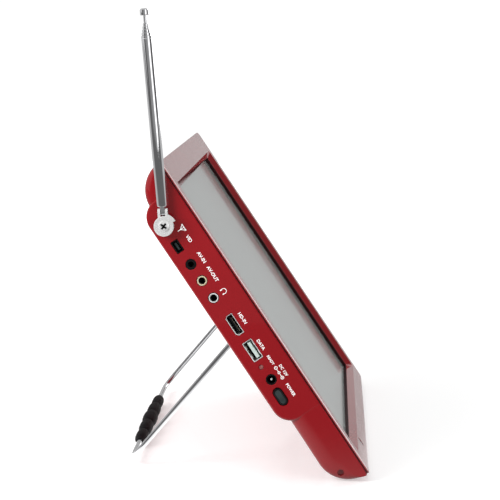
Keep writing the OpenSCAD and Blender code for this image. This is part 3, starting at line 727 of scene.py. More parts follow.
def jack_body(name, y, recess):
    """Plastic barrel of a round socket, hollow, with a chamfered mouth."""
    bore = 1.8
    profile = [(3.5, -4), (3.5, -0.35), (3.35, -0.2), (bore + 0.35, -0.2), (bore, -0.55), (bore, -15.8),
        (3.2, -15.8)]
    if recess:
        profile = [(3.5, -4), (3.5, -1.15), (bore + 0.3, -1.15), (bore, -1.4), (bore, -15.8), (3.2, -15.8)]
    bm = bmesh.new()
    place = jack_place(y)
    lathe(bm, place, profile + [(3.2, -4)], 40, loop=True)
    barrel = to_object(name, bm)
    block = bmesh.new()
    top = span(name)[1][2]
    board = middle("main_board")[2] + 0.72
    tile(block, on_port_side(y, (board + top) / 2, -HALF_W), 8, top - board, 0.4, -18, -4.0, 0.2)
    bore_cut = lathe(bmesh.new(), place, [(bore + 0.9, -15.9), (bore + 0.9, -3)], 40)
    housing = to_object("housing", block)
    combine(housing, bore_cut)
    join(barrel, housing)
    finish_piece(barrel, "case", BLACK, [name])


def jack_springs(name, y):
    """Two bent contact springs inside a round socket."""
    bm = bmesh.new()
    place = jack_place(y)
    for side in (-1, 1):
        path = [place @ Vector((0, side * v, w)) for v, w in ((1.62, -13.5), (1.5, -10), (1.15, -7.5),
            (1.6, -5.5))]
        sweep(bm, path, 0.16 * MM, 10)
    piece(name, bm, "case", STEEL)


def ring_nut(name, node, y, material):
    """Rounded metal ring round a plug hole."""
    profile = [(2.35, -1.1), (3.15, -1.1), (3.2, -0.1)]
    profile += [(2.78 + 0.42 * math.cos(a), -0.2 + 0.4 * math.sin(a))
        for a in (math.radians(15 + 150 * k / 8) for k in range(9))]
    profile += [(2.35, -0.1)]
    bm = lathe(bmesh.new(), jack_place(y), profile, 48, loop=True)
    piece(name, bm, "case", material, [node])


jack_body("av_in_jack", AV_IN_Y, False)
jack_body("av_out_jack", AV_OUT_Y, True)
jack_body("headphone_jack", PHONE_Y, True)
jack_springs("av_in_springs", AV_IN_Y)
jack_springs("av_out_springs", AV_OUT_Y)
jack_springs("headphone_springs", PHONE_Y)
ring_nut("av_out_ring_nut", "av_out_ring", AV_OUT_Y, BRASS)
ring_nut("headphone_ring_nut", "headphone_ring", PHONE_Y, PLATED)


def shell_tube(bm, place, outline_at, thick, back, lip=0.25):
    """Open tube with a rolled lip: outline_at(c) gives the outline shrunk by c."""
    rings = [(0, back), (0, -lip), (lip * 0.3, -lip * 0.3), (thick * 0.5, 0.0),
        (thick - lip * 0.2, -lip * 0.4), (thick, -lip * 1.4), (thick, back)]
    return loft(bm, [ring_of(place, outline_at(c), w) for c, w in rings], loop=True)


def contacts(name, place, spots, shape, material=BRASS):
    """Flat contacts inside a socket, all of one shape, which is what tile takes after the placement."""
    bm = bmesh.new()
    for u, v in spots:
        tile(bm, place @ Matrix.Translation((u, v, 0)), *shape)
    piece(name, bm, "case", material)


def video_socket():
    """Small black video socket with a tongue and a row of contacts."""
    place = port_place("video_port")
    bm = shell_tube(bmesh.new(), place, lambda c: rounded_rect(8.4 - 2 * c, 5 - 2 * c, max(0.7 - c, 0.1)),
        0.55, -9)
    tile(bm, place, 7.2, 3.8, 0.2, -9, -5, 0.1)
    piece("video_socket", bm, "case", BLACK, ["video_port"])
    tongue = tile(bmesh.new(), place, 5.2, 1.1, 0.15, -5.2, -1.0, 0.12)
    piece("video_tongue", tongue, "case", GREY)
    spots = [((i - 2) * 0.95, v) for i in range(5) for v in (-0.66, 0.66)]
    contacts("video_pins", place, spots, (0.4, 0.16, 0.06, -5, -1.3, 0.05), STEEL)


def hd_socket():
    """Wide video socket: plated shell, black tongue, contact rows."""
    place = port_place("hd_port")
    bm = shell_tube(bmesh.new(), place @ Matrix.Translation((0, 0, -0.15)),
        lambda c: hd_outline(15 - 2 * c, 5.6 - 2 * c, 1.5 - 0.55 * c), 0.5, -12, 0.3)
    piece("hd_shell", bm, "case", PLATED, ["hd_port"], 40)
    core = tile(bmesh.new(), place, 13.6, 4.3, 0.2, -12, -9, 0.1)
    tile(core, place, 11.2, 0.95, 0.15, -10, -1.0, 0.2)
    piece("hd_tongue", core, "case", BLACK, ["hd_port_tongue"])
    spots = [((i - 4) * 1.15, v) for i in range(9) for v in (-0.5, 0.5)]
    contacts("hd_pins", place, spots, (0.5, 0.12, 0.05, -9.5, -1.8, 0.04))


def data_socket():
    """Flat data socket: steel shell with four spring windows, pale tongue, four contacts."""
    place = port_place("data_port")
    bm = shell_tube(bmesh.new(), place @ Matrix.Translation((0, 0, -0.1)),
        lambda c: rounded_rect(14.3 - 2 * c, 7 - 2 * c, max(0.6 - c, 0.15)), 0.45, -15, 0.25)
    for u in (-3.4, 3.4):
        for v in (-1, 1):
            spring = place @ Matrix.Translation((u, v * 2.75, 0))
            tile(bm, spring, 2.2, 0.3, 0.1, -9, -1.6, 0.1)
    piece("data_shell", bm, "case", PLATED, ["data_port"], 40)
    tongue = tile(bmesh.new(), place @ Matrix.Translation((0, -0.5, 0)), 11.6, 2.2, 0.2, -14, -1.0, 0.25)
    piece("data_tongue", tongue, "case", PALE, ["data_port_tongue"])
    spots = [((i - 1.5) * 2.4, 0.64) for i in range(4)]
    contacts("data_pins", place, spots, (1.1, 0.14, 0.1, -12, -2.2, 0.05))


def dome(bm, place, r, back, front, rise, steps=32, collar=None):
    """Round post with a domed front end."""
    profile = [(collar, back), (collar, back + 1), (r, back + 1)] if collar else [(r, back)]
    profile += [(r * math.cos(a) if k < 6 else 0.02, front - rise + rise * math.sin(a)) for k,
        a in ((k, math.radians(90 * k / 6)) for k in range(7))]
    return lathe(bm, place, profile, steps)


def status_lamp():
    bm = dome(bmesh.new(), port_place("status_led"), 1.5, -5, -0.35, 0.5, collar=1.9)
    piece("status_lamp", bm, "case", LED, ["status_led"])


def power_socket():
    place = port_place("dc_pin")
    bm = bmesh.new()
    profile = [(3.5, -4), (3.5, -0.3), (3.35, -0.15), (3.0, -0.15), (2.75, -0.5), (2.75, -12), (3.4, -12),
        (3.4, -4)]
    lathe(bm, place, profile, 48, loop=True)
    tile(bm, place, 9, 8.6, 0.4, -15, -12.0, 0.2)
    piece("power_socket", bm, "case", BLACK, ["dc_jack"])
    pin = dome(bmesh.new(), place, 0.8, -12.5, -1.2, 0.6, 20)
    piece("power_pin", pin, "case", PLATED, ["dc_pin"])


def power_control():
    """Oval button with a crowned cap, in its black well."""
    place = port_place("button_well")
    bm = bmesh.new()
    outline = [(15.8, 9.0, -4.6), (15.8, 9.0, -1.5), (12.9, 6.5, -1.5), (12.9, 6.5, -0.35),
        (12.7, 6.3, -0.2), (12.4, 6.0, -0.3), (12.4, 6.0, -4.4)]
    rings = [ring_of(place, rounded_rect(w, h, h / 2, 12), z) for w, h, z in outline]
    rings += [ring_of(place, rounded_rect(4.5, 4.5, 2.2, 12), z) for z in (-4.4, -4.6)]
    loft(bm, rings, loop=True)
    piece("button_surround", bm, "case", BLACK, ["button_well"])
    cap = bmesh.new()
    crown = [(0, -2.6), (0, 0.0)]
    crown += [(0.8 * (1 - math.cos(a)), 0.6 * math.sin(a)) for a in quarter(6, 1)]
    crown += [(1.0, 0.6)]
    loft(cap, [ring_of(place, rounded_rect(11.9 - 2 * c, 5.5 - 2 * c, 2.75 - c, 12), z) for c, z in crown])
    tile(cap, place, 3.6, 3.6, 0.3, -5.9, -2.55, 0.1)
    piece("power_cap", cap, "power_button", BLACK, ["power_button"])
    pad = tile(bmesh.new(), place, 9.7, 3.5, 1.7, 0.55, 0.8, 0.18, steps=12)
    piece("power_pad", pad, "power_button", GREY)


video_socket()
hd_socket()
data_socket()
status_lamp()
power_socket()
power_control()

# ---- printed words and signs ----------------------------------------------------------------

INK_T = 0.05


def printed(name, place, polygons):
    """Thin raised ink with a painted glow: closed prisms of (u, v) outlines."""
    bm = bmesh.new()
    for outline in polygons:
        loft(bm, [ring_of(place, outline, w) for w in (-0.03, INK_T)])
    piece(name, bm, "case", INK_WITH_GLOW)


def word_place(y, n):
    """Placement of print on the side: u down the slope, v towards the screen, w out of the side."""
    return axes(at(-HALF_W, y, n), -UP, -DEPTH)


def printed_word(name, text, y, n, cap_height, stretch=1.0):
    """A word in thin raised ink with a painted glow, centred on its place."""
    curve = bpy.data.curves.new(name, "FONT")
    curve.body = text
    curve.size = cap_height / 0.7
    curve.align_x = "CENTER"
    curve.align_y = "CENTER"
    curve.offset = 0.035 * cap_height
    curve.extrude = 0.04
    curve.resolution_u = 3
    word = add_object(name, curve)
    bpy.context.view_layer.update()
    mesh = bpy.data.meshes.new_from_object(word.evaluated_get(bpy.context.evaluated_depsgraph_get()))
    bpy.data.objects.remove(word)
    bpy.data.curves.remove(curve)
    mesh.transform(word_place(y, n) @ Matrix.Diagonal((stretch, 1, 1, 1)))
    finish_piece(add_object(name, mesh), "case", INK_WITH_GLOW)


def band(points, width):
    """Outline of a stroke of even width along (u, v) points."""
    left, right = [], []
    for i, (u, v) in enumerate(points):
        a, b = points[max(i - 1, 0)], points[min(i + 1, len(points) - 1)]
        du, dv = b[0] - a[0], b[1] - a[1]
        size = math.hypot(du, dv)
        nu, nv = -dv / size * width / 2, du / size * width / 2
        left.append((u + nu, v + nv))
        right.append((u - nu, v - nv))
    return left + right[::-1]


WORD_N = 12.8
WORDS = [("VID", PORTS["video_port"][1], WORD_N, 2.2), ("AV-IN", AV_IN_Y, WORD_N, 2.2),
    ("AV-OUT", AV_OUT_Y, WORD_N, 2.15), ("HD-IN", PORTS["hd_port"][1] + 0.8, WORD_N, 2.1),
    ("DATA", PORTS["data_port"][1] + 0.3, 12.5, 2.0), ("READY", PORTS["status_led"][1] + 0.6, WORD_N,
    1.6), ("DC 12V", PORTS["dc_pin"][1] + 0.9, 9.6, 1.8), ("POWER", PORTS["button_well"][1] + 0.3, WORD_N,
    1.9)]
for text, y, n, size in WORDS:
    printed_word("print_" + text.lower().replace(" ", "_"), text, y, n, size)

antenna_y = antenna_place()[0]
printed("print_antenna", word_place(antenna_y - 7.9, 13.4), [band([(-2.4, 2.1), (2.4, 2.1)], 0.55),
    band([(-2.4, 2.3), (0, -0.6)], 0.55), band([(2.4, 2.3), (0, -0.6)], 0.55),
    band([(0, 2.2), (0, -2.6)], 0.55)])
printed("print_headphones", word_place(PHONE_Y + 0.1, 13.0), [band(arc(0, 0, 1.7, -30, 210, 24), 0.42),
    band([(-1.5, -1.8), (-1.5, -0.7)], 0.75), band([(1.5, -1.8), (1.5, -0.7)], 0.75)])
dc_y = PORTS["dc_pin"][1]
printed("print_polarity", word_place(dc_y + 1.0, WORD_N), [band(arc(-3.8, 0, 0.95, 0, 350, 24), 0.4),
    band([(-4.3, 0), (-3.3, 0)], 0.3), band([(-2.8, 0), (-0.8, 0)], 0.4),
    band(arc(0, 0, 0.75, 50, 310, 18), 0.45), band([(-0.1, 0), (2.8, 0)], 0.4),
    band(arc(3.8, 0, 0.95, 180, 530, 24), 0.4), band([(3.3, 0), (4.3, 0)], 0.3),
    band([(3.8, -0.5), (3.8, 0.5)], 0.3)])

# ---- back: lid, button, screws, brackets, speakers, keys, foot ------------------------------------


def disc_lid():
    """Lid with two grooved rings that follow the disc, a finger scoop and its hinge knuckle."""
    low, high = span("disc_lid")
    axis = Vector(JOINTS["lid_swing"]["pos_m"]) - ORIGIN
    axis_y, axis_n = axis.dot(UP) / MM, axis.dot(DEPTH) / MM
    w, h = high[0] - low[0], axis_y - low[1]
    thick = 1.8
    place = on_back(0, low[1] + h / 2, SLAB_T)
    bm = tile(bmesh.new(), place, w, h, 1.8, -thick, 0, 0.35, 0.2)
    lid = to_object("disc_lid_panel", bm)
    knuckle = bmesh.new()
    hinge = axes(at(0, axis_y, axis_n), UP, DEPTH)
    lathe(knuckle, hinge, [(1.4, -w / 2), (1.4, w / 2)], 32)
    combine(lid, knuckle, "UNION")
    cuts = lathe(bmesh.new(), hinge, [(0.8, -w / 2 - 1), (0.8, w / 2 + 1)], 24)
    ring = on_back(0, middle("disc_hub")[1], SLAB_T)
    for r in (61.0, 34.0):
        lathe(cuts, ring, [(r - 0.7, -0.05), (r - 0.35, -0.45), (r + 0.35, -0.45), (r + 0.7, -0.05),
            (r + 0.7, 1), (r - 0.7, 1)], 128, loop=True)
    combine(lid, cuts)
    scoop = tile(bmesh.new(), on_back(0, low[1] + 5.5, SLAB_T), 26, 5, 2.4, -0.6, 2, 0.1, 0.3, 8)
    combine(lid, scoop)
    finish_piece(lid, "disc_lid", RED, ["disc_lid"], 30, True)


def lid_button():
    place = on_back(0, OPEN_Y, SLAB_T)
    bm = bmesh.new()
    profile = [(1.6, -7.7), (1.6, -4.2), (4.6, -4.2), (4.6, -0.7), (4.45, -0.42), (4.2, -0.3),
        (3.6, -0.32), (2.4, -0.6), (1.2, -0.75), (0.05, -0.8)]
    lathe(bm, place, profile)
    piece("lid_button", bm, "open_button", GREY, ["open_button"])


def cover_screws():
    """Pan heads with cross recesses."""
    bm = bmesh.new()
    for x, y in SCREWS:
        place = on_back(x, y, 0)
        lathe(bm, place, [(1.4, 7.8), (1.4, 18), (2.8, 18), (2.8, 18.9), (2.55, 19.2), (1.9, 19.38),
            (0.05, 19.4)], 28)
    heads = to_object("cover_screws", bm)
    cross = bmesh.new()
    for x, y in SCREWS:
        for turn in (0, 90):
            place = on_back(x, y, 19.5) @ Matrix.Rotation(math.radians(turn + 25), 4, "Z")
            taper = [(1.2, 0.35, -0.9), (2.7, 0.55, 0.5)]
            loft(cross, [ring_of(place, rounded_rect(w, h, 0.1, 2), z) for w, h, z in taper])
    combine(heads, cross, use_self=True)
    finish_piece(heads, "case", DARK_STEEL, ["case_screws"])


def stand_bearings():
    """Clamp blocks that hold the stand's stubs."""
    low, high = span("stand_brackets")
    bm, cuts = bmesh.new(), bmesh.new()
    width = 11
    for s in (-1, 1):
        x = s * (high[0] - width / 2)
        tile(bm, on_back(x, PIVOT_Y, SLAB_T), width, 11.6, 0.8, -(SLAB_T - low[2]), 0, 0.4, 0.1)
        lathe(cuts, axes(PIVOT + X_AXIS * (x * MM), UP, DEPTH), [(WIRE_R + 0.05, -8), (WIRE_R + 0.05, 8)],
            40)
    blocks = to_object("stand_bearings", bm)
    combine(blocks, cuts)
    finish_piece(blocks, "case", BLACK, ["stand_brackets"])


def speaker(name):
    """Basket, surround, cone and dust cap of a small loudspeaker."""
    x, y, _ = middle(name)
    place = on_back(x, y, 0)
    profile = [(10, 15), (10, 20.6), (14, 20.6), (14, 22.2), (13.6, 22.4), (12.6, 22.4), (11.8, 22.0),
        (10.8, 22.35), (9.9, 21.9), (5.0, 20.2), (4.6, 20.4), (2.6, 21.1), (0.05, 21.4)]
    bm = lathe(bmesh.new(), place, profile)
    piece(name + "_unit", bm, "case", CONE, [name])


def top_keys():
    """Cap of each top-edge key, crowned, with a raised mark on the middle one."""
    for i in range(1, 6):
        place = on_key(i)
        bm = tile(bmesh.new(), place, 10.4, 4, 0.9, -3, 0.7, 0.35, 0.0)
        tile(bm, place, 2, 2, 0.2, -6.3, -2.9, 0.1)
        if i == 3:
            dome(bm, place, 0.55, 0.5, 0.95, 0.3, 16)
        piece(f"key_cap_{i}", bm, f"key_{i}", GREY, [f"key_{i}"])


def foot():
    """Rubber strip under the case, ribbed along its length."""
    low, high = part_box("foot_strip")
    rise = EDGE_R * MM + 0.001
    bm = bmesh.new()
    outline = []
    ribs = 5
    half = 0.0042
    for k in range(ribs * 4 + 1):
        t = -1 + 2 * k / (ribs * 4)
        lift = 0.00018 if k % 4 == 2 else 0.0
        outline.append((t * half, lift))
    for k in range(9):
        a = math.radians(-90 + 14 - 28 * k / 8)
        outline.append((EDGE_R * MM * math.cos(a), rise + EDGE_R * MM * math.sin(a)))
    ends = [(low.x, 0.5), (low.x + 0.0006, 1.0), (high.x - 0.0006, 1.0), (high.x, 0.5)]
    top = 0.001
    rings = [[Vector((x, y * (0.9 + 0.1 * k), top + (z - top) * (0.6 + 0.4 * k) if k < 1 and z < top
        else z)) for y, z in outline] for x, k in ends]
    loft(bm, rings)
    piece("foot_pad", bm, "case", RUBBER, ["foot_strip"], 28)


disc_lid()
lid_button()
cover_screws()
stand_bearings()
speaker("speaker_left")
speaker("speaker_right")
top_keys()
foot()

# ---- disc deck -----------------------------------------------------------------------------


def deck_tray():
    """Tray of the disc bay: walls, a round well for the disc, windows for hub and pickup."""
    low, high = span("deck_tray")
    hub_y = middle("disc_hub")[1]
    place = on_back(0, (low[1] + high[1]) / 2, 0)
    w, h = high[0] - low[0], high[1] - low[1]
    bm = tile(bmesh.new(), place, w, h, 3, low[2], high[2], 0.1)
    tray = to_object("disc_tray", bm)
    well = loft(bmesh.new(), [ring_of(place, rounded_rect(w - 3.2, h - 3.2, 1.6, 6), n)
        for n in (TRAY_N, SLAB_T)])
    combine(tray, well)
    rim = bmesh.new()
    hub = on_back(0, hub_y, 0)
    lathe(rim, hub, [(61.6, TRAY_N - 0.3), (61.6, TRAY_N + 1.0), (61.9, TRAY_N + 1.3),
        (63.0, TRAY_N + 1.3), (63.3, TRAY_N + 1.0), (63.3, TRAY_N - 0.3)], 128, loop=True)
    combine(tray, rim, "UNION")
    holes = lathe(bmesh.new(), hub, [(14, TRAY_N - 3), (14, TRAY_N + 0.05), (14.3, TRAY_N + 0.3)], 64)
    window = on_back(-38, hub_y, 0)
    loft(holes, [ring_of(window, rounded_rect(52, 18, 3, 8), n) for n in (TRAY_N - 3, TRAY_N + 2)])
    combine(tray, holes, use_self=True)
    finish_piece(tray, "case", BLACK, ["deck_tray"], 30, True)


def spindle_hub():
    """Turntable with a rubber ring and a hub with three sprung balls."""
    hub = on_back(0, middle("disc_hub")[1], 0)
    low, high = span("disc_hub")
    seat = high[2] - 2.6
    bm = bmesh.new()
    profile = [(1, low[2]), (1, 22), (12.6, 22), (13, 22.4), (13, seat - 0.4), (12.7, seat - 0.05),
        (9.0, seat - 0.05), (8.8, seat - 0.4), (7.9, seat - 0.4), (7.4, seat - 0.2), (7.4, seat + 1.7),
        (6.6, seat + 2.4), (5.8, seat + 2.6), (3.2, seat + 2.6), (2.6, seat + 2.2), (0.05, seat + 2.2)]
    lathe(bm, hub, profile, 64)
    piece("turntable", bm, "disc_hub", HUB, ["disc_hub"])
    balls = bmesh.new()
    for k in range(3):
        turned = hub @ Matrix.Rotation(math.radians(120 * k + 30), 4, "Z")
        spot = turned @ Matrix.Translation((6.75, 0, seat + 1.0)) @ Matrix.Rotation(math.radians(90), 4, "Y")
        dome(balls, spot, 0.75, -0.5, 0.75, 0.72, 20)
    piece("hub_balls", balls, "disc_hub", NICKEL)
    ring = lathe(bmesh.new(), hub, [(9.3, seat - 0.2), (12.4, seat - 0.2), (12.4, seat - 0.02),
        (12.1, seat), (9.6, seat), (9.3, seat - 0.02)], 64, loop=True)
    piece("turntable_ring", ring, "disc_hub", RUBBER)


def pickup():
    """Laser sled on its two rods, with a raised lens carrier."""
    low, high = span("pickup_sled")
    x, y, _ = middle("pickup_sled")
    rod = span("guide_rods")
    rod_n = (rod[0][2] + rod[1][2]) / 2
    rod_dy = (rod[1][1] - rod[0][1]) / 2 - 1.1
    screw = middle("lead_screw")
    bm = bmesh.new()
    place = on_back(x, y, 0)
    tile(bm, place, high[0] - low[0], high[1] - low[1], 1.2, low[2], 19.6, 0.4, 0.3)
    sled = to_object("pickup_carriage", bm)
    carrier = tile(bmesh.new(), place, 14, 15, 1.5, 19.2, high[2], 0.5)
    combine(sled, carrier, "UNION")
    bores = bmesh.new()
    for dy in (-rod_dy, rod_dy):
        lathe(bores, axes(at(x, y + dy, rod_n), UP, DEPTH), [(1.15, -10), (1.15, 10)], 32)
    lathe(bores, axes(at(x, screw[1], rod_n), UP, DEPTH), [(1.55, -10), (1.55, 10)], 32)
    lathe(bores, on_back(x, y, 0), [(3.4, high[2] - 0.5), (3.4, high[2] + 1)], 40)
    combine(sled, bores)
    finish_piece(sled, "pickup", CAST, ["pickup_sled"], 32, True)
    glass = bmesh.new()
    tip = span("pickup_lens")[1][2]
    dome(glass, on_back(x, y, 0), 2.6, tip - 1.4, tip, 0.55, 40)
    piece("pickup_optic", glass, "pickup", LENS, ["pickup_lens"])


def feed_screw():
    """Lead screw with a fine helical thread."""
    low, high = span("lead_screw")
    _, y, n = middle("lead_screw")
    place = axes(at(0, y, n), UP, DEPTH)
    turns, steps, pitch = 26, 20, 2.0
    bm = lathe(bmesh.new(), place, [(1.28, -high[0]), (1.28, -low[0])], steps)
    core = to_object("feed_screw", bm)
    thread = bmesh.new()
    start = -high[0] + 0.3
    path = []
    for k in range(turns * steps):
        a = 2 * math.pi * k / steps
        path.append(place @ Vector((1.28 * math.cos(a), 1.28 * math.sin(a), start
            + pitch * k / steps * 0.985)))
    sweep(thread, path, 0.2 * MM, 6)
    join(core, to_object("thread", thread))
    finish_piece(core, "lead_screw", STEEL, ["lead_screw"], 40)


deck_tray()
spindle_hub()
pickup()
feed_screw()

# ---- wire stand ------------------------------------------------------------------------------

GRIP_LOW, GRIP_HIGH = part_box("stand_grip")
GRIP_AXIS = Vector((0, (GRIP_LOW.y + GRIP_HIGH.y) / 2, (GRIP_LOW.z + GRIP_HIGH.z) / 2))
LEG = GRIP_AXIS - Vector((0, PIVOT.y, PIVOT.z))
LEG_LEN = LEG.length / MM
LEG.normalize()


def on_stand(x, u):
    """World point in the stand's plane: x across and u along the legs from the pivot."""
    return Vector((0, PIVOT.y, PIVOT.z)) + (X_AXIS * x + LEG * u) * MM


def stand_wire():
    """One bent wire: stub, elbow, leg, corner, grip run, and back."""
    corner, elbow, stub = 14, 4, 14
    half = [(LEG_X + stub, 0), (LEG_X + stub - 0.3, 0), (LEG_X + elbow + 5, 0)]
    half += [(LEG_X + elbow - elbow * math.sin(a), elbow - elbow * math.cos(a)) for a in quarter(10)]
    half += [(LEG_X, u) for u in (12, 30, 50, 70, 88)]
    half += [(LEG_X - corner + corner * math.cos(a), LEG_LEN - corner + corner * math.sin(a))
        for a in quarter(14)]
    half += [(x, LEG_LEN) for x in (110, 80, 40)]
    points = half + [(0, LEG_LEN)] + [(-x, u) for x, u in half[::-1]]
    radii = [WIRE_R * MM] * len(points)
    radii[0] = radii[-1] = (WIRE_R - 0.3) * MM
    bm = sweep(bmesh.new(), [on_stand(x, u) for x, u in points], radii, 28)
    piece("stand_wire", bm, "stand", WIRE, ["wire_stand"])


def stand_grip():
    """Foam grip of five barrel-shaped beads threaded on the wire."""
    length = (GRIP_HIGH.x - GRIP_LOW.x) / MM
    biggest = (GRIP_HIGH.z - GRIP_LOW.z) / 2 / MM
    beads, per = 5, 14
    bead = length / beads
    profile = [(WIRE_R, -length / 2)]
    for b in range(beads):
        r = biggest - 0.55 * abs(b - 2)
        for k in range(per + 1):
            t = -1 + 2 * k / per
            swell = r - 1.9 * abs(t) ** 3.2
            profile.append((swell, -length / 2 + bead * (b + 0.5 + 0.494 * t)))
    profile.append((WIRE_R, length / 2))
    bm = lathe(bmesh.new(), axes(GRIP_AXIS, LEG, X_AXIS.cross(LEG)), profile, 40, loop=True)
    piece("grip_foam", bm, "stand", FOAM, ["stand_grip"], 50)


stand_wire()
stand_grip()

# ---- antenna ------------------------------------------------------------------------------------

PIVOT_ANT = Vector(JOINTS["antenna_turn"]["pos_m"])
MAST_PLACE = axes(PIVOT_ANT, X_AXIS, MAST.cross(X_AXIS))
DEPTH_SIDE = -MAST.cross(X_AXIS)                # makes w point out of the port side
TILT_U = (Vector(JOINTS["antenna_tilt"]["pos_m"]) - PIVOT_ANT).length / MM


def along_mast(node):
    """Where a CAD node starts and ends along the mast, in millimetres from the turning axis."""
    low, high = reach(node, MAST)
    zero = PIVOT_ANT.dot(MAST)
    return (low - zero) / MM, (high - zero) / MM


def antenna_screw():
    """Domed screw head with a cross recess, and its shank in the case."""
    out = axes(PIVOT_ANT, UP, DEPTH)
    bm = bmesh.new()
    profile = [(1.5, -12), (1.5, 2.9), (3.5, 2.9), (3.7, 3.1), (3.7, 3.5)]
    profile += [(3.7 * math.cos(a) if k < 6 else 0.03, 3.5 + 0.8 * math.sin(a)) for k,
        a in ((k, math.radians(90 * k / 6)) for k in range(1, 7))]
    lathe(bm, out, profile, 48)
    head = to_object("antenna_screw_head", bm)
    recess_shade_bm = bmesh.new()
    for turn in (20, 110):
        cross = bmesh.new()
        place = out @ Matrix.Rotation(math.radians(turn), 4, "Z")
        taper = [(4.2, 1.15, 3.3), (5.4, 1.55, 4.6)]
        loft(cross, [ring_of(place, rounded_rect(w, h, 0.2, 3), z) for w, h, z in taper])
        combine(head, cross)
        # Dark plates at the bottom of the cross recess: painted shade in the recess.
        tile(recess_shade_bm, place, 4.4, 1.1, 0.2, 3.1, 3.55, 0.05)
    piece("antenna_screw_recess_shade", recess_shade_bm, "case", DARK_STEEL)
    finish_piece(head, "case", PLATED, ["antenna_screw"], 30)


def antenna_knuckle():
    """Round base with a raised rim, a stop rib and the fork that carries the mast."""
    out = axes(PIVOT_ANT, MAST, DEPTH_SIDE)
    bm = bmesh.new()
    profile = [(1.55, -3.35), (6.2, -3.35), (6.5, -3.1), (6.5, 1.7), (6.3, 2.2), (5.8, 2.5), (4.4, 2.5),
        (4.0, 2.3), (3.85, 1.2), (3.8, 1.0), (1.55, 1.0)]
    lathe(bm, out, profile, 64, loop=True)
    base = to_object("antenna_base_knuckle", bm)
    rib = bmesh.new()
    turn = (19, 69)
    outer = arc(0, 0, 8.2, *turn, 14)
    inner = arc(0, 0, 6.2, turn[1], turn[0], 14)
    loft(rib, [ring_of(out, outer + inner, w) for w in (-3.3, -1.85)])
    combine(base, rib, "UNION")
    for s in (-1, 1):
        ear = bmesh.new()
        mid = s * 2.4
        slice_place = axes(PIVOT_ANT + MAST_PLACE.to_3x3() @ Vector((0, mid, 0)), MAST, X_AXIS)
        outline = [(0.5, -3.1), (TILT_U - 2, -2.9)] + arc(TILT_U, 0, 2.6, -78, 78, 14)
        outline += [(TILT_U - 2, 2.9), (0.5, 3.1)]
        rings = [ring_of(slice_place, [(u, v * k) for u, v in outline], w) for k,
            w in ((0.93, -0.85), (1, -0.7), (1, 0.7), (0.93, 0.85))]
        loft(ear, rings)
        combine(base, ear, "UNION")
    bore = bmesh.new()
    tilt = axes(PIVOT_ANT + MAST * (TILT_U * MM), X_AXIS, MAST)
    lathe(bore, tilt, [(0.9, -5), (0.9, 5)], 28)
    combine(base, bore)
    finish_piece(base, "antenna_base", PLATED, ["antenna_knuckle"], 32, True)


def mast_tube(name, node, r, wall, foot_neck=False):
    """Chrome tube with a rolled-in mouth and a fine groove below it."""
    start, end = along_mast(node)
    if foot_neck:
        start = 13.0
    inner = r - wall
    profile = [(r - 0.12, start), (r, start + 0.3), (r, end - 2.1), (r - 0.12, end - 1.95),
        (r - 0.12, end - 1.75), (r, end - 1.6), (r, end - 0.5), (r - 0.08, end - 0.2),
        (r - 0.2, end - 0.03), (inner + 0.04, end), (inner, end - 0.1), (inner, start + 1),
        (1.2, start + 1), (1.2, start)]
    bm = lathe(bmesh.new(), MAST_PLACE, profile, 48, loop=True)
    return to_object(name, bm)


def antenna_mast():
    """Five nested sections, the first with its tilting tongue, the last with its cap."""
    wall, step, outer = 0.38, 0.45, 3.5
    first = mast_tube("mast_section_1", "antenna_tube_1", outer, wall, True)
    root = bmesh.new()
    neck = [(1.0, TILT_U + 3.7), (3.1, TILT_U + 3.7), (3.3, TILT_U + 3.9), (3.4, 13.3), (1.0, 13.3)]
    lathe(root, MAST_PLACE, neck, 40, loop=True)
    root_obj = to_object("neck", root)
    tongue = bmesh.new()
    slice_place = axes(PIVOT_ANT, MAST, X_AXIS)
    outline = arc(TILT_U, 0, 2.1, 90, 270, 14) + [(TILT_U + 4.3, -2.1), (TILT_U + 4.3, 2.1)]
    loft(tongue, [ring_of(slice_place, outline, w) for w in (-1.4, 1.4)])
    tongue_obj = to_object("tongue", tongue)
    bore = bmesh.new()
    tilt = axes(PIVOT_ANT + MAST * (TILT_U * MM), X_AXIS, MAST)
    lathe(bore, tilt, [(0.95, -5), (0.95, 5)], 28)
    combine(tongue_obj, bore)
    combine(root_obj, tongue_obj, "UNION")
    join(first, root_obj)
    finish_piece(first, "mast_1", CHROME, ["antenna_tube_1"], 30)
    # Two small black domes on the neck.
    dark_domes = bmesh.new()
    for u in (TILT_U - 1.0, TILT_U + 1.7):
        spot = axes(PIVOT_ANT + MAST * (u * MM), MAST, DEPTH_SIDE)
        lathe(dark_domes, spot, [(0.85, 1.7), (0.85, 2.2), (0.7, 2.35), (0.05, 2.35)], 24)
    piece("neck_dark_domes", dark_domes, "mast_1", BLACK)
    for k in (2, 3, 4):
        tube = mast_tube(f"mast_section_{k}", f"antenna_tube_{k}", outer - step * (k - 1), wall)
        finish_piece(tube, f"mast_{k}", CHROME, [f"antenna_tube_{k}"], 30)
    start, end = along_mast("antenna_rod")
    r = outer - step * 4
    neck_start = end - 5
    rod = lathe(bmesh.new(), MAST_PLACE, [(r - 0.15, start), (r, start + 0.3), (r, neck_start - 0.4),
        (r - 0.3, neck_start - 0.05), (1.15, neck_start), (1.1, neck_start + 0.2), (1.1, end)], 40)
    piece("mast_rod", rod, "mast_5", CHROME, ["antenna_rod"], 30)
    low, high = along_mast("antenna_tip")
    cap = bmesh.new()
    profile = [(1.0, low), (2.55, low), (2.8, low + 0.12), (2.9, low + 0.4), (2.9, high - 1.5)]
    profile += [(1.6 + 1.3 * math.cos(a), high - 1.5 + 1.5 * math.sin(a)) for a in quarter(6, 1)]
    profile += [(0.8, high), (0.05, high - 0.02)]
    lathe(cap, MAST_PLACE, profile, 40)
    piece("mast_cap", cap, "mast_5", CHROME, ["antenna_tip"], 40)


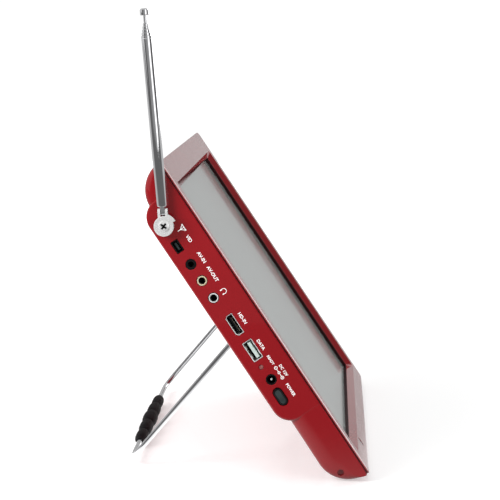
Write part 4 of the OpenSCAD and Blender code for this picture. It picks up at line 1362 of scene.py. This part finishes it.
antenna_screw()
antenna_knuckle()
antenna_mast()

# ---- floor, light and camera -------------------------------------------------------------------


FOOT_Y = at(0, 0, 0).y                          # front of the case where it stands on the table


def smooth(tree, value, start, end, low, high):
    """Output that runs smoothly from low to high while a value runs from start to end."""
    inputs = {"Value": value, "From Min": start, "From Max": end, "To Min": low, "To Max": high}
    return node(tree, "MapRange", inputs, interpolation_type="SMOOTHSTEP").outputs["Result"]


def distance(tree, place):
    return node(tree, "VectorMath", {0: place}, operation="LENGTH").outputs["Value"]


def floor():
    """Pale glossy table top that fades into the background."""
    far, near = 3.0, -0.9
    pool_shift = (0.1, -0.22, 0)
    bm = bmesh.new()
    for x, y in ((near, -far), (far, -far), (far, far), (near, far)):
        bm.verts.new((x, y, 0))
    bm.faces.new(bm.verts)
    mesh = bpy.data.meshes.new("table_top")
    bm.to_mesh(mesh)
    bm.free()
    top = add_object("table_top", mesh)
    material = bpy.data.materials.new("table_white")
    material.use_nodes = True
    tree = material.node_tree
    tree.nodes.clear()
    place = node(tree, "TexCoord").outputs["Object"]
    split = node(tree, "SeparateXYZ", {0: place})
    # The table brightens away from the object until it meets the backdrop. Its mirror image fades behind.
    lift = smooth(tree, distance(tree, place), 0.25, 0.8, 0.5, 1.0)
    mirror = smooth(tree, split.outputs["Y"], FOOT_Y + 0.02, FOOT_Y + 0.1, 0.2, 0.08)
    matt = node(tree, "BsdfDiffuse", {"Color": (0.9, 0.9, 0.9, 1)})
    glow = node(tree, "Emission", {"Strength": lift})
    gloss = node(tree, "BsdfGlossy", {"Roughness": 0.06})
    body = node(tree, "AddShader", {0: matt.outputs[0], 1: glow.outputs[0]})
    seen_top = node(tree, "MixShader", {"Fac": mirror, 1: body.outputs[0], 2: gloss.outputs[0]})
    # Mirrored in the object, the table is brightest in a round pool behind it.
    shifted = node(tree, "Mapping", {"Vector": place, "Location": pool_shift}).outputs["Vector"]
    pool = smooth(tree, distance(tree, shifted), 0.08, 0.32, 1.9, 0.5)
    toward = smooth(tree, split.outputs["X"], -0.42, -0.1, 0.25, 1.0)
    both = node(tree, "Math", {0: pool, 1: toward}, operation="MULTIPLY")
    shine = node(tree, "Emission", {"Strength": both.outputs[0]})
    dim = node(tree, "BsdfDiffuse", {"Color": (0.5, 0.5, 0.5, 1)})
    seen = node(tree, "LightPath").outputs
    shown = node(tree, "MixShader", {"Fac": seen["Is Glossy Ray"], 1: dim.outputs[0], 2: shine.outputs[0]})
    choose = node(tree, "MixShader", {"Fac": seen["Is Camera Ray"], 1: shown.outputs[0],
        2: seen_top.outputs[0]})
    node(tree, "OutputMaterial", {"Surface": choose.outputs[0]})
    mesh.materials.append(material)


# Share of a turn from -X through -Y, +X and +Y, and the brightness there.
SOFT_BOXES = [(0.0, 0.32), (0.06, 0.32), (0.085, 1.5), (0.14, 1.5), (0.18, 0.08), (0.3, 0.14),
    (0.345, 2.4), (0.445, 2.4), (0.465, 0.52), (0.55, 0.52), (0.7, 0.55), (0.82, 0.6), (0.86, 0.08),
    (0.905, 0.08), (0.93, 0.3), (0.97, 0.22)]


def studio_world():
    """Bright backdrop for the camera; for light and reflections, soft boxes between darker gaps."""
    world = bpy.data.worlds.new("studio")
    bpy.context.scene.world = world
    world.use_nodes = True
    tree = world.node_tree
    tree.nodes.clear()
    split = node(tree, "SeparateXYZ", {0: node(tree, "TexCoord").outputs["Generated"]})
    turn = node(tree, "Math", {0: split.outputs["Y"], 1: split.outputs["X"]}, operation="ARCTAN2")
    share = node(tree, "MapRange", {"Value": turn.outputs[0], "From Min": -math.pi, "From Max": math.pi})
    around = node(tree, "ValToRGB", {"Fac": share.outputs["Result"]})
    ramp = around.color_ramp
    while len(ramp.elements) < len(SOFT_BOXES):
        ramp.elements.new(0.5)
    for element, (place, value) in zip(ramp.elements, SOFT_BOXES):
        element.position = place
        element.color = (value, value, value, 1)
    high = node(tree, "MapRange", {"Value": split.outputs["Z"], "From Min": 0.5, "From Max": 0.85})
    inputs = {"Factor": high.outputs["Result"], "A": around.outputs["Color"], "B": (0.5, 0.5, 0.5, 1)}
    sky = node(tree, "Mix", inputs, data_type="RGBA")
    studio = node(tree, "Background", {"Color": sky.outputs["Result"]})
    backdrop = node(tree, "Background", {"Color": (1, 1, 1, 1), "Strength": 1.05})
    seen = node(tree, "LightPath").outputs["Is Camera Ray"]
    choose = node(tree, "MixShader", {"Fac": seen, 1: studio.outputs[0], 2: backdrop.outputs[0]})
    node(tree, "OutputWorld", {"Surface": choose.outputs[0]})


def area_light(name, place, target, size, power):
    """Square soft light that isn't mirrored in anything."""
    light = bpy.data.lights.new(name, "AREA")
    light.shape = "RECTANGLE"
    light.size = light.size_y = size
    light.energy = power
    made = add_object(name, light)
    made.location = place
    made.rotation_euler = (Vector(target) - Vector(place)).to_track_quat("-Z", "Y").to_euler()
    made.visible_glossy = False


def camera():
    """Long lens from the port side, a little above the table."""
    view = bpy.data.cameras.new("camera")
    view.sensor_width = 36
    view.lens = 147.2
    view.clip_start, view.clip_end = 0.01, 100
    yaw, pitch = math.radians(2.274), math.radians(6.228)
    ahead = Vector((math.cos(yaw) * math.cos(pitch), math.sin(yaw) * math.cos(pitch), -math.sin(pitch)))
    made = add_object("camera", view)
    made.location = (-1.4926, 0.01158, 0.2948)
    made.rotation_mode = "QUATERNION"
    made.rotation_quaternion = ahead.to_track_quat("-Z", "Y")
    bpy.context.scene.camera = made


floor()
studio_world()
area_light("key_light", (-1.1, 1.2, 0.8), (-0.15, 0.08, 0.12), 0.8, 22)
area_light("top_light", (0.3, 0.1, 1.8), (0.0, 0.05, 0.0), 2.0, 5)
camera()
bpy.context.scene.view_settings.view_transform = "Standard"
